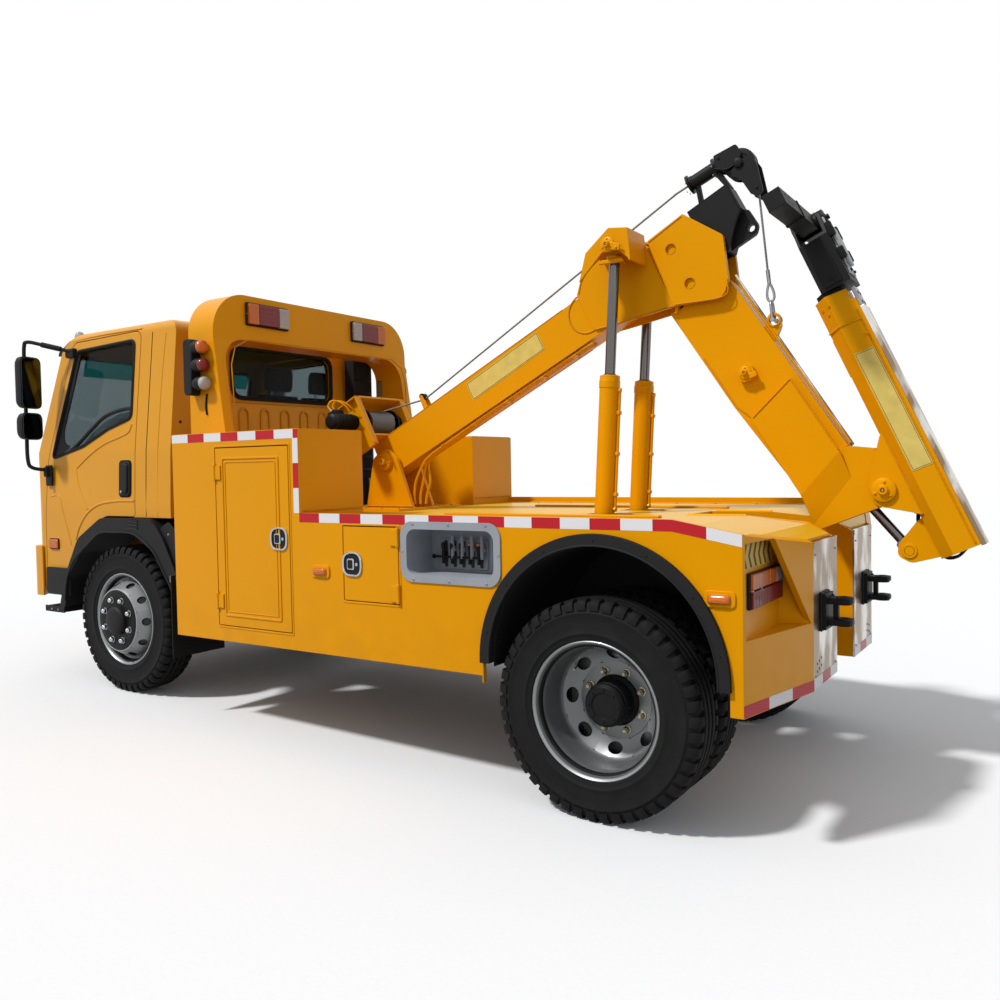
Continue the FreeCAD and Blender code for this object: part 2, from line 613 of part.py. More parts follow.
def boom_base():
    """Cheek plates that carry the boom's foot, standing on the sub-frame."""
    cheek = prism_y([(1430, DECK_TOP), (1830, DECK_TOP), (1700, 1640, 60), (1600, 1720, 60), (1500, 1640, 60)],
                    -117, -92)
    boss = rod((BOOM_X, -130, BOOM_Z), (BOOM_X, -117, BOOM_Z), 62)
    bore = crosswise(BOOM_X, BOOM_Z, -140, -80, 35 + RUNNING)
    foot = box(1400, 1860, -300, 300, DECK_TOP, DECK_TOP + 16)
    return joined(pair(joined([cheek, boss]).cut(bore)) + [foot])


def box_tube(s0, s1, n0, n1, half, wall):
    return box(s0, s1, -half, half, n0, n1).cut(box(s0 - 1, s1 + 1, -half + wall, half - wall, n0 + wall, n1 - wall))


EAR_PLATE = [(3021, 2532, 20), (3050, 2630, 20), (3150, 2722, 20), (3326, 2818, 20), (3440, 2762), (3609, 2406),
             (3263, 2343, 60), (3131, 2324, 30)]
HEAD_PLATE = [(3459, 2771, 10), (3660, 2884, 10), (3878, 2742, 30), (3906, 2512, 30), (3880, 2420, 70), (3604, 2408)]
HEAD_RECESSES = [(3592, 2711), (3697, 2518)]
HOOD_PLATE = [(3190, 2708), (3326, 2822), (3436, 2808), (3452, 2640), (3380, 2700, 20), (3290, 2700, 20),
              (3150, 2560)]
HOOD_RIM = [(3190, 2708), (3326, 2822), (3436, 2808), (3452, 2640), (3440, 2640), (3425, 2796), (3330, 2808),
            (3199, 2697)]


def boom_outer():
    low = BOOM_TOP - BOOM_DEPTH
    tube = box_tube(-70, BOOM_LENGTH, low, BOOM_TOP, BOOM_HALF, BOOM_WALL)
    end = box(-70, -60, -BOOM_HALF, BOOM_HALF, low, BOOM_TOP)
    pin = rod((0, -130, 0), (0, 130, 0), 35)
    collar = rod((0, -BOOM_HALF - 12, 0), (0, BOOM_HALF + 12, 0), 55)
    sides = pair(box(-100, 75, -212, -200, BOOM_TOP - 60, BOOM_TOP + 290))
    ties = [box(-100, 75, -200, 200, BOOM_TOP + 278, BOOM_TOP + 290), box(-100, 75, -200, 200, BOOM_TOP, BOOM_TOP + 12)]
    tube = laid(joined([tube, end, pin, collar] + sides + ties), (BOOM_X, BOOM_Z), BOOM_ANGLE)
    ear = prism_y(EAR_PLATE, -BOOM_HALF - 9, -BOOM_HALF)
    head = prism_y(HEAD_PLATE, -BOOM_HALF - 17, -BOOM_HALF + 7)
    for x, z in HEAD_RECESSES:
        head = head.cut(rod((x, -BOOM_HALF - 20, z), (x, -BOOM_HALF - 4, z), 31))
    hood = prism_y(HOOD_PLATE, -296, -284)
    rim = prism_y(HOOD_RIM, -296, -BOOM_HALF - 4)
    boss = crosswise(LIFT_EYE[0], LIFT_EYE[1], -316, -283, 34)
    return joined([tube] + pair(joined([ear, head, hood, rim, boss])))


def winch_drum():
    z = BOOM_TOP + 155
    drum = joined([rod((-40, -132, z), (-40, 132, z), 62), rod((-40, -144, z), (-40, -132, z), 92),
                   rod((-40, 132, z), (-40, 144, z), 92)])
    drum = drum.cut(rod((-40, -160, z), (-40, 160, z), 30 + RUNNING))
    return laid(drum, (BOOM_X, BOOM_Z), BOOM_ANGLE)


def winch_motor():
    """Gearboxes inside the frame, the motor outside it and the drum's shaft."""
    z = BOOM_TOP + 155
    pieces = [rod((-40, -200, z), (-40, -152, z), 66), rod((-40, 152, z), (-40, 200, z), 66),
              rod((-40, -160, z), (-40, 160, z), 30), rod((-40, -420, z), (-40, -212, z), 50)]
    return laid(group([joined(pieces[:3]), pieces[3]]), (BOOM_X, BOOM_Z), BOOM_ANGLE)


def rear_arm():
    """The arm that goes down from the boom head to the underlift's pivot."""
    inner = ARM_HALF - 8
    upper = [(3567, 2378), (3640, 2402), (3660, 2440), (3840, 2560), (3901, 2511), (4479, 1643), (4440, 1626),
             (4256, 1412), (3915, 1859), (3738, 2124)]
    tube = prism_y(upper, -ARM_HALF, ARM_HALF)
    hollow = [(3620, 2370), (3690, 2440), (3830, 2545), (3890, 2506), (4466, 1640), (4600, 1400), (4400, 1200),
              (4200, 1400), (4030, 1640), (3955, 1827), (3925, 1866), (3750, 2130)]
    tube = tube.cut(prism_y(hollow, -inner, inner))
    ties = [prism_y([(3600, 2372), (3616, 2376), (3644, 2540), (3628, 2540)], -BOOM_HALF + 7, BOOM_HALF - 7),
            prism_y([(3868, 2440), (3882, 2448), (3848, 2575), (3832, 2568)], -BOOM_HALF + 7, BOOM_HALF - 7)]
    sleeve = prism_y([(4013, 1792), (4208, 1985), (4440, 1626), (4256, 1412)], -SLEEVE_HALF, -KNUCKLE_HALF + 14)
    taper = Part.makeLoft([outline_wire([(4256, 1412), (4440, 1626), (4446, 1618), (4262, 1404)], -SLEEVE_HALF),
                           outline_wire([(4329, 1227), (4504, 1463), (4440, 1626), (4256, 1412)], -KNUCKLE_HALF + 6)],
                          True, True)
    cheek = prism_y([(4013, 1792), (4208, 1985), (4440, 1626), (4484, 1642), (4596, 1629, 30), (4690, 1510, 60),
                     (4702, 1410, 60), (4640, 1350, 40), (4593, 1333, 20), (4329, 1227, 10), (4256, 1412)],
                    -KNUCKLE_HALF, -KNUCKLE_HALF + 12)
    fill = prism_y([(4013, 1792), (4208, 1985), (4440, 1626), (4256, 1412)], -KNUCKLE_HALF, -ARM_HALF + 2)
    lug = prism_y([(4060, 2240), (4110, 2165), (4150, 2260, 30), (4140, 2330, 40), (4085, 2330, 40)], -14, 14)
    lug = lug.cut(crosswise(4114, 2290, -30, 30, 24))
    boss = crosswise(TILT_TOP[0], TILT_TOP[1], -ARM_HALF - 40, -ARM_HALF, 46)
    arm = joined([tube, lug] + ties + pair(joined([sleeve, taper, cheek, fill, boss])))
    arm = arm.cut(crosswise(TILT_TOP[0], TILT_TOP[1], -ARM_HALF - 22, ARM_HALF + 22, 26 + RUNNING))
    return arm.cut(crosswise(FOLD_X, FOLD_Z, -200, 200, PIVOT_R + RUNNING))


def boom_inner():
    low = BOOM_TOP - BOOM_DEPTH + BOOM_WALL + 7
    high = BOOM_TOP - BOOM_WALL - 7
    half = BOOM_HALF - BOOM_WALL - 7
    tube = box_tube(1150, BOOM_LENGTH + 110, low, high, half, 9)
    block = prism_y([(3676, 2894), (3886, 3002), (3961, 2861), (3931, 2781), (3898, 2664), (3800, 2640)],
                    -half - 2, half + 2)
    block = block.cut(prism_y([(3600, 2830), (3880, 2990), (3948, 2858), (3919, 2781), (3885, 2664), (3800, 2500)],
                              -half + 10, half - 10))
    ear = prism_y([(3950, 2875), (3987, 2868), (4038, 2784, 40), (4026, 2740, 30), (3930, 2690), (3900, 2670),
                   (3915, 2780)], -15, 15)
    ear = ear.cut(crosswise(EAR_HOLE[0], EAR_HOLE[1], -300, 300, 18))
    post = prism_y([(3728, 2900), (3752, 2912), (3724, 3050), (3700, 3050)], -12, 12)
    fairlead = [rod((3664, 0, 3054), (3818, 0, 3120), 36), rod((3664, 0, 3054), (3675, 0, 3058.7), 52),
                rod((3807, 0, 3115.3), (3818, 0, 3120), 52)]
    horn = prism_y([(3800, 3090), (3818, 3120), (3900, 3000), (3880, 2990)], -26, 26)
    fork = prism_y([(3812, 3166, 10), (3934, 3205, 15), (3962, 3150, 15), (3940, 3105), (3881, 3078, 10), (3830, 3090)],
                   -46, -34)
    guard = prism_y([(3905, 3070), (3957, 3120, 15), (4010, 3132, 30), (4040, 3086, 25), (4072, 2945, 10),
                     (4045, 2918, 10), (4008, 2940), (3958, 3020, 15), (3915, 3042)], -46, -34)
    bridge = box(3818, 3850, -46, 46, 3095, 3160)
    axle = crosswise(SHEAVE[0], SHEAVE[1], -46, 46, 16)
    upper = [laid(tube, (BOOM_X, BOOM_Z), BOOM_ANGLE), block, ear, post, horn, bridge, axle]
    head = joined(upper + fairlead + pair(joined([fork, guard])))
    return head.cut(rod((3587, 0, 3021), (3870, 0, 3142.3), 14))


def rope_sheave():
    wheel = crosswise(SHEAVE[0], SHEAVE[1], -28, 28, SHEAVE_R)
    wheel = wheel.cut(crosswise(SHEAVE[0], SHEAVE[1], -50, 50, 16 + RUNNING))
    return wheel.cut(Part.makeTorus(SHEAVE_R + 6, 14, Vector(SHEAVE[0], 0, SHEAVE[1]), Vector(0, 1, 0)))


def lift_length():
    return math.dist(LIFT_FOOT, LIFT_EYE)


def lift_angle():
    return math.degrees(math.atan2(LIFT_EYE[1] - LIFT_FOOT[1], LIFT_EYE[0] - LIFT_FOOT[0]))


def lift_barrels():
    """Both barrels turn on one shaft under the deck."""
    barrel = ring((-10, -LIFT_Y, 0), (LIFT_BARREL_END, -LIFT_Y, 0), LIFT_BARREL_R, LIFT_ROD_R + 0.05)
    barrel = barrel.cut(rod((40, -LIFT_Y, 0), (LIFT_BARREL_END - 60, -LIFT_Y, 0), LIFT_BARREL_R - 10))
    barrel = joined([barrel, rod((-10, -LIFT_Y, 0), (40, -LIFT_Y, 0), LIFT_BARREL_R)])
    shaft = rod((0, -330, 0), (0, 330, 0), 32)
    return laid(joined(pair(barrel) + [shaft]), LIFT_FOOT, lift_angle())


def lift_rods():
    end = lift_length()
    stem = rod((620, -LIFT_Y, 0), (end - 20, -LIFT_Y, 0), LIFT_ROD_R)
    head = rod((620, -LIFT_Y, 0), (660, -LIFT_Y, 0), LIFT_BARREL_R - 10.5)
    eye = ring((end, -LIFT_Y - 32, 0), (end, -LIFT_Y + 32, 0), 48, 26)
    stem = stem.cut(rod((end, -LIFT_Y - 60, 0), (end, -LIFT_Y + 60, 0), 26))
    return laid(group(pair(joined([stem, head, eye]))), LIFT_FOOT, lift_angle())


# ---------------------------------------------------------------- underlift

def arm_laid(shape):
    return laid(shape, (FOLD_X, FOLD_Z), ARM_ANGLE)


def hexagon(low, high, half, waist):
    """Section of the underlift arm: (y, z) with its corners on the sides."""
    middle = low + 0.62 * (high - low)
    return [(-half, middle), (-waist, low), (waist, low), (half, middle), (waist, high), (-waist, high)]


def underlift_arm():
    """Drawn from the pivot along the arm; z is towards the pivot's side."""
    low, high = ARM_MIDDLE - ARM_DEPTH / 2, ARM_MIDDLE + ARM_DEPTH / 2
    outer = prism_x(hexagon(low, high, 115, 62), ARM_TAIL, ARM_TIP)
    outer = outer.cut(prism_x(hexagon(low + 10, high - 10, 102, 55), ARM_TAIL + 10, ARM_TIP + 1))
    plate = box(ARM_TAIL, ARM_TIP - 60, -62, 62, low - 20, low)
    cover = box(ARM_TAIL - 6, ARM_TIP - 110, -60, 60, low - 39, low - 20)
    cheek = prism_y([(-175, high - 26), (260, high - 26), (240, -88, 10), (60, 50, 60), (0, 68, 60), (-58, 58, 50),
                     (-150, -75, 10)], -78, -KNUCKLE_HALF - 5)
    disc = rod((0, -90, 0), (0, -77, 0), 58)
    pin = crosswise(0, 0, -90, 90, PIVOT_R)
    ears = prism_y([(-180, high - 30), (-190, -66, 10), (-256, 52, 30), (-305, 84, 50), (-362, 40, 50), (-378, -60, 30),
                    (-385, high - 30)], -44, -32)
    return arm_laid(joined([outer, plate, cover, pin] + pair(joined([cheek, disc])) + pair(ears)))


def underlift_slide():
    low, high = ARM_MIDDLE - ARM_DEPTH / 2 + 16, ARM_MIDDLE + ARM_DEPTH / 2 - 16
    inner = prism_x(hexagon(low, high, 92, 47), 200, ARM_TIP + 30)
    inner = inner.cut(prism_x(hexagon(low + 10, high - 10, 80, 41), 212, ARM_TIP + 20))
    front, rear = BAR_MIDDLE + 70, BAR_MIDDLE - 78
    plan = [(ARM_TIP + 20, -108), (BAR_S - 100, -108), (BAR_S + 40, -50, 30), (BAR_S + 40, 50, 30),
            (BAR_S - 100, 108), (ARM_TIP + 20, 108)]
    plates = [prism_z(plan, front - 12, front), prism_z(plan, rear, rear + 16)]
    cheeks = pair(box(ARM_TIP + 20, BAR_S - 100, -108, -94, rear, front))
    base = box(ARM_TIP + 20, ARM_TIP + 38, -108, 108, rear, front)
    pin = rod((BAR_S, 0, rear), (BAR_S, 0, front), 25)
    return arm_laid(joined([inner, pin, base] + plates + cheeks))


def cross_bar():
    s = BAR_S
    bar = box(s - 42, s + 42, -590, 590, BAR_MIDDLE - 42, BAR_MIDDLE + 42)
    for side in (-1, 1):
        bar = bar.cut(box(s - 34, s + 34, side * 390 - 201, side * 390 + 201, BAR_MIDDLE - 34, BAR_MIDDLE + 34))
    hub = rod((s, 0, BAR_MIDDLE - 56), (s, 0, BAR_MIDDLE + 54), 52)
    bore = rod((s, 0, BAR_MIDDLE - 60), (s, 0, BAR_MIDDLE + 60), 25 + RUNNING)
    return arm_laid(joined([bar, hub]).cut(bore))


def tilt_length():
    return math.dist(TILT_TOP, TILT_EYE)


def tilt_angle():
    return math.degrees(math.atan2(TILT_EYE[1] - TILT_TOP[1], TILT_EYE[0] - TILT_TOP[0]))


def tilt_barrel():
    barrel = ring((-10, 0, 0), (690, 0, 0), 36, TILT_ROD_R + RUNNING).cut(rod((50, 0, 0), (650, 0, 0), 29))
    barrel = joined([barrel, rod((-36, 0, 0), (50, 0, 0), 36)])
    shaft = rod((0, -ARM_HALF - 20, 0), (0, ARM_HALF + 20, 0), 26)
    return laid(joined([barrel, shaft]), TILT_TOP, tilt_angle())


def tilt_rod():
    end = tilt_length()
    stem = rod((560, 0, 0), (end - 20, 0, 0), TILT_ROD_R)
    head = rod((560, 0, 0), (600, 0, 0), 28.9)
    eye = rod((end, -25, 0), (end, 25, 0), 42)
    rod_end = joined([stem, head, eye]).cut(rod((end, -60, 0), (end, 60, 0), 22))
    return laid(rod_end, TILT_TOP, tilt_angle())


# ---------------------------------------------------------------- wheels

def revolved(profile, x, z):
    """A profile of (radius, y) points turned about the axle at x, z."""
    edges = rounded_edges(profile, lambda a, b: Vector(x + a, b, z))
    return Part.Face(Part.Wire(edges)).revolve(Vector(x, 0, z), Vector(0, 1, 0), 360)


def tyre(x, z, y):
    half = TYRE_WIDTH / 2
    profile = [(RIM_R - 22, y - half + 30, 8), (RIM_R + 40, y - half, 40), (TYRE_R - 80, y - half, 60),
               (TYRE_R, y - half + 22, 18), (TYRE_R, y + half - 22, 18), (TYRE_R - 80, y + half, 60),
               (RIM_R + 40, y + half, 40), (RIM_R - 22, y + half - 30, 8)]
    return revolved(profile, x, z)


def rim(x, z, y, disc_y, bore):
    """Rim well and disc; disc_y is where the disc bolts to the hub."""
    half = TYRE_WIDTH / 2 - 30
    step = 14 if disc_y > y else -14
    barrel = revolved([(RIM_R - 23, y - half), (RIM_R - 23, y + half), (RIM_R - 37, y + half), (RIM_R - 37, y - half)],
                      x, z)
    disc = revolved([(bore, disc_y), (220, disc_y), (RIM_R - 36, y + 0.2 * (disc_y - y)),
                     (RIM_R - 36, y + 0.2 * (disc_y - y) + step), (228, disc_y + step), (bore, disc_y + step)], x, z)
    return joined([barrel, disc])


def front_wheel_rim(side):
    """The disc bulges out past the tyre."""
    y = -FRONT_TYRE_Y
    face = y - FRONT_DISC_OUT
    disc = rim(FRONT_X, FRONT_Z, y, face, 108)
    bore = STUB_R + RUNNING
    hub = revolved([(bore, face), (160, face), (160, face + 14), (115, face + 90), (115, y + 20), (bore, y + 20)],
                   FRONT_X, FRONT_Z)
    cap = rod((FRONT_X, face, FRONT_Z), (FRONT_X, face - 56, FRONT_Z), 92)
    return on_side(joined([disc, hub, cap]), side)


def rear_wheel_rims(side):
    outer, inner = -REAR_OUTER_Y, -REAR_INNER_Y
    middle = (outer + inner) / 2
    discs = [rim(REAR_X, REAR_Z, outer, middle - 15, 108), rim(REAR_X, REAR_Z, inner, middle + 1, 108)]
    bore = SPINDLE_R + RUNNING
    hub = revolved([(bore, middle + 15), (175, middle + 15), (175, middle + 30), (120, middle + 140),
                    (bore, middle + 140)], REAR_X, REAR_Z)
    flange = revolved([(bore, middle + 15), (108, middle + 15), (108, middle - 40), (bore, middle - 40)],
                      REAR_X, REAR_Z)
    cap = rod((REAR_X, middle - 150, REAR_Z), (REAR_X, middle - 28, REAR_Z), 95)
    return on_side(joined(discs + [hub, flange, cap]), side)


def rear_tyres(side):
    return on_side(group([tyre(REAR_X, REAR_Z, -REAR_OUTER_Y), tyre(REAR_X, REAR_Z, -REAR_INNER_Y)]), side)


def knuckle(side):
    """Kingpin, fork and stub axle."""
    pin = rod((FRONT_X, -KINGPIN_Y, FRONT_Z - 100), (FRONT_X, -KINGPIN_Y, FRONT_Z + 100), 24)
    arms = []
    for low in (FRONT_Z - 95, FRONT_Z + 60):
        arms.append(box(FRONT_X - 40, FRONT_X + 40, -KINGPIN_Y - 95, -KINGPIN_Y, low, low + 35))
        arms.append(rod((FRONT_X, -KINGPIN_Y, low), (FRONT_X, -KINGPIN_Y, low + 35), 40))
    plate = box(FRONT_X - 50, FRONT_X + 50, -KINGPIN_Y - 95, -KINGPIN_Y - 60, FRONT_Z - 95, FRONT_Z + 95)
    stub = crosswise(FRONT_X, FRONT_Z, -FRONT_TYRE_Y - 40, -KINGPIN_Y - 90, STUB_R)
    return on_side(joined([pin, plate, stub] + arms), side)


# ---------------------------------------------------------------- output

def finished(shape):
    """Body coordinates to the truck's standing frame."""
    placed = shape.copy()
    placed.rotate(Vector(REAR_X, 0, REAR_Z), Vector(0, 1, 0), -RAKE)
    placed.translate(Vector(-CENTRE_X, 0, 0))
    return placed


def pieces():
    skin = cab_skin()
    pane = glazing()
    yield "frame_rails", frame_rails()
    yield "front_axle", front_axle()
    yield "rear_axle", rear_axle()
    yield "engine_block", engine_block()
    yield "fuel_tank", fuel_tank()
    yield "air_tank", air_tank()
    yield "cab_shell", cab_shell(skin)
    yield "cab_glass", cab_glass(pane)
    yield "cab_seats", cab_seats()
    yield "dashboard", dashboard()
    yield "front_bumper", front_bumper()
    yield "front_arches", front_arches()
    yield "cab_steps", cab_steps()
    yield "mud_flaps", mud_flaps()
    yield "air_intake", air_intake()
    yield "deck", deck()
    yield "control_panels", control_panels()
    yield "rear_arch_flares", rear_arch_flares()
    yield "rear_plates", rear_plates()
    yield "tow_brackets", tow_brackets()
    yield "lamps", lamps()
    yield "gantry", gantry()
    yield "boom_base", boom_base()
    for side, word in ((-1, "left"), (1, "right")):
        yield "body_side_" + word, body_side(side)
        yield "cab_door_" + word, cab_door(skin, side)
        yield "door_glass_" + word, door_glass(pane, side)
        yield "mirror_" + word, mirror(side)
        yield "tall_door_" + word, locker_door(side, TALL_DOOR[side], TALL_DOOR[side][0] + 2)
        yield "small_door_" + word, locker_door(side, SMALL_DOOR, SMALL_DOOR[1] - 2)
        yield "knuckle_" + word, knuckle(side)
        yield "front_tyre_" + word, on_side(tyre(FRONT_X, FRONT_Z, -FRONT_TYRE_Y), side)
        yield "front_rim_" + word, front_wheel_rim(side)
        yield "rear_tyres_" + word, rear_tyres(side)
        yield "rear_rims_" + word, rear_wheel_rims(side)
    yield "boom_outer", boom_outer()
    yield "winch_drum", winch_drum()
    yield "winch_motor", winch_motor()
    yield "rear_arm", rear_arm()
    yield "boom_inner", boom_inner()
    yield "rope_sheave", rope_sheave()
    yield "lift_barrels", lift_barrels()
    yield "lift_rods", lift_rods()
    yield "underlift_arm", underlift_arm()
    yield "underlift_slide", underlift_slide()
    yield "cross_bar", cross_bar()
    yield "tilt_barrel", tilt_barrel()
    yield "tilt_rod", tilt_rod()


def main():
    os.makedirs("parts", exist_ok=True)
    for name, shape in pieces():
        finished(shape).exportStep(os.path.join("parts", name + ".step"))
        print(name, len(shape.Solids), "solids", "" if shape.isValid() else "INVALID")


main()
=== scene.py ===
import sys
import json
import math

import bmesh
import bpy
from bpy.props import FloatProperty, FloatVectorProperty, IntProperty, PointerProperty
from mathutils import Matrix, Vector
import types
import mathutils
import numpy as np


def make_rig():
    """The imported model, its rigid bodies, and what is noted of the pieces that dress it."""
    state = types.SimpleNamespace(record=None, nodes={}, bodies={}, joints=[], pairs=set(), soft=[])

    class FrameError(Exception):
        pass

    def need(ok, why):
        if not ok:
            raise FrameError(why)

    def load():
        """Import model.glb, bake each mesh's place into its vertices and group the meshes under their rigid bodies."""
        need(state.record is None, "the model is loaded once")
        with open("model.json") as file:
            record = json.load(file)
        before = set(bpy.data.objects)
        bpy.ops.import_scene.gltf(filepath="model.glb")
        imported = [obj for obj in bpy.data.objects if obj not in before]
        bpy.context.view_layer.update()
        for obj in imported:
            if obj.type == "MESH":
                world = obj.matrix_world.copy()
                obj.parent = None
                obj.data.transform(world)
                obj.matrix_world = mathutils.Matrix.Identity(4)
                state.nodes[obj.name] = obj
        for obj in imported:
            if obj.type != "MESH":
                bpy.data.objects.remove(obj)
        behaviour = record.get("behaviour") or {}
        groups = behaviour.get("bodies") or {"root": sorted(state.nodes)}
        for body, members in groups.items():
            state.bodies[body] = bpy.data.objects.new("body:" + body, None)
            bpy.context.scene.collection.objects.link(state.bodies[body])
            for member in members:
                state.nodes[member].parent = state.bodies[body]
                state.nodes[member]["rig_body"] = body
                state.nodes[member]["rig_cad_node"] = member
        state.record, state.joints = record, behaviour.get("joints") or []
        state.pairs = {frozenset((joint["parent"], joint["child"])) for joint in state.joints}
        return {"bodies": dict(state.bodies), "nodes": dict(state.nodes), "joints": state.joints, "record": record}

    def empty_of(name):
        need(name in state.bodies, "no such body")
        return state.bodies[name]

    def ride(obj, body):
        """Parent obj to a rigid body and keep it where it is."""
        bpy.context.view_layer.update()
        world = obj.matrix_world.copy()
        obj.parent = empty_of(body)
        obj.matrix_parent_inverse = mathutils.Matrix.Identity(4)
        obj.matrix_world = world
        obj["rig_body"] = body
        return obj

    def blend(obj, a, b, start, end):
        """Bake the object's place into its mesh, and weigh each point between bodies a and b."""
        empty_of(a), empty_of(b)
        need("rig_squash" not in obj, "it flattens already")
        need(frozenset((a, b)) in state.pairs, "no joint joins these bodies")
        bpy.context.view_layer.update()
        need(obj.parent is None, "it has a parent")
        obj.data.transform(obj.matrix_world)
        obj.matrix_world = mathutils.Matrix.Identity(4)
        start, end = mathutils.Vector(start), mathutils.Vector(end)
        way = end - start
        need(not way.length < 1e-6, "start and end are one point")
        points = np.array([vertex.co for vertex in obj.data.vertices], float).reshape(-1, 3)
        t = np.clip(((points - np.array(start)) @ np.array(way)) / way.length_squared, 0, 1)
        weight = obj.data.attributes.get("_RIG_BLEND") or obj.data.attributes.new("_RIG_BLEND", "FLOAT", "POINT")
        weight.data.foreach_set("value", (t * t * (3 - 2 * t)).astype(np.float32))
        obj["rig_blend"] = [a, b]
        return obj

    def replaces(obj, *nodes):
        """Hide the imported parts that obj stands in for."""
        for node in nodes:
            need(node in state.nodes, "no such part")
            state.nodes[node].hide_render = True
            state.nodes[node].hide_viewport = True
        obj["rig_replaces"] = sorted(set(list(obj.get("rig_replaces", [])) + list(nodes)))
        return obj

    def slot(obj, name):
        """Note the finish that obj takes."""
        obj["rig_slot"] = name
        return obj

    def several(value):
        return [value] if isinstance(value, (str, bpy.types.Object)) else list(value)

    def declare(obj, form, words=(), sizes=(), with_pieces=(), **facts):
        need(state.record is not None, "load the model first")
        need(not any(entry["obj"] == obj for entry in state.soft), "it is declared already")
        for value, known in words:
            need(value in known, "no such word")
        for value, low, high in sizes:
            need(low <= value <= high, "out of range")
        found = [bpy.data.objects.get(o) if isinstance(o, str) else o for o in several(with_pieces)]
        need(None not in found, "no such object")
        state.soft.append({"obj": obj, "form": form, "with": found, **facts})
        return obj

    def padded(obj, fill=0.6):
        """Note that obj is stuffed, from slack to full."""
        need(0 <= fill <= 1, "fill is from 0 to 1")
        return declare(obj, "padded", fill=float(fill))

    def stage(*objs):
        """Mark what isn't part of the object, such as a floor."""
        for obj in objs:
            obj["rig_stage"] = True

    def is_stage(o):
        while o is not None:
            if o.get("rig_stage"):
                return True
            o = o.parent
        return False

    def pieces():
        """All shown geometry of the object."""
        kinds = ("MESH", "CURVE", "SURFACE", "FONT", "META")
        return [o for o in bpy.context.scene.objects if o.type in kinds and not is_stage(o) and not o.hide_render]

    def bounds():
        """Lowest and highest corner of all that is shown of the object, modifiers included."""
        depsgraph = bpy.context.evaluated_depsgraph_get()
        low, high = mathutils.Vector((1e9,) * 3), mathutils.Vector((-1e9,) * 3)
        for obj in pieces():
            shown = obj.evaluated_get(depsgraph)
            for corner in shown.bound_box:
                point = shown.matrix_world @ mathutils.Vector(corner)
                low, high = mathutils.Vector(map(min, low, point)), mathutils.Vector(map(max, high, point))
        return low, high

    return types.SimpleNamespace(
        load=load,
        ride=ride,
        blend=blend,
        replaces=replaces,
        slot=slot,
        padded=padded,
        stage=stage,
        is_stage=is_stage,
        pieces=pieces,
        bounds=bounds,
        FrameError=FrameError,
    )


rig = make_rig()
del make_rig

bl_info = {
    "name": "Tow truck looks",
    "version": (1, 0, 0),
    "blender": (4, 5, 0),
    "location": "3D View > Sidebar > Tow truck",
    "description": "Detailed pieces and finishes around the packed frame of a tow truck",
    "category": "Object",
}

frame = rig.load()
FRAME_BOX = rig.bounds()

# The truck's body is drawn in millimetres in its own level coordinates: x rearward from the front axle,
# y to the right, z up. It sits RAKE nose-down about the rear axle, and its middle is at CENTRE_X.
RAKE = math.radians(1.5)
CENTRE_X = 1968.0
REAR_AXLE = (3650.0, 495.0)
FRONT_AXLE = (REAR_AXLE[0] * (1 - math.cos(RAKE)), REAR_AXLE[1] + REAR_AXLE[0] * math.sin(RAKE))
SIDES = (("left", -1), ("right", 1))

SIDE_Y = 1190.0
RIM_TOP = 1343.0
KINK_X = 4037.0
SIDE_END = (4330.0, 1288.0)
PLATE_X = 4454.0
PLATE_Y = 616.0
SLOT_Y = 190.0
CABINET_FRONT = 852.0
CABINET_REAR = {"left": 1908.0, "right": 1742.0}
CABINET_TOP = 1796.0
CAB_REAR = 563.0
ARCH_X = 3683.0
ARCH_Z = 677.0
ARCH_FOOT = 640
POCKET_X = 4325.0

BOOM_FOOT = (1600.0, 1620.0)
BOOM_ANGLE = 26.9
BOOM_HALF = 78.0
BOOM_TOP = 157.0
BOOM_LOW = -93.0
FOLD = (4645.0, 1428.0)
ARM_ANGLE = 114.6
TILT_TOP = (3986.0, 2028.0)
TILT_EYE = (4751.0, 1140.0)
LIFT_FOOT = (3240.0, 1215.0)
LIFT_EYE = (3330.0, 2730.0)
LIFT_Y = 223.0
SHEAVE = (3946.0, 3105.0)
DRUM = (-40.0, 312.0)

CAMERA_AT = (3.4729, -4.6379, 1.6145)
CAMERA_TURN = (33.291, 2.877, 0.213)


def body_matrix():
    turn = Matrix.Rotation(-RAKE, 4, "Y")
    about = Matrix.Translation((REAR_AXLE[0], 0, REAR_AXLE[1]))
    moved = Matrix.Translation((-CENTRE_X, 0, 0)) @ about @ turn @ about.inverted()
    return Matrix.Scale(0.001, 4) @ moved


BODY = body_matrix()


def laid(origin, angle):
    """Space drawn along +x, turned up by angle degrees in the side view and moved to origin (x, z)."""
    return Matrix.Translation((origin[0], 0, origin[1])) @ Matrix.Rotation(-math.radians(angle), 4, "Y")


def towards(start, end):
    return math.degrees(math.atan2(end[1] - start[1], end[0] - start[0]))


BOOM = laid(BOOM_FOOT, BOOM_ANGLE)
ARM = laid(FOLD, ARM_ANGLE)
LIFT = laid(LIFT_FOOT, towards(LIFT_FOOT, LIFT_EYE))
TILT = laid(TILT_TOP, towards(TILT_TOP, TILT_EYE))


def cab_skin(z):
    """Half-width of the cab's side wall at height z."""
    if z > 1720:
        return 985 - (z - 1720) * 0.1
    if z > 1350:
        return 1000 - (z - 1350) * 0.0405
    return 1000 - (1350 - z) * 0.017


# ---------------------------------------------------------------- settings

def colour(name, text, default):
    return FloatVectorProperty(name=name, description=text, default=default, size=3, min=0, max=1,
                               subtype="COLOR")


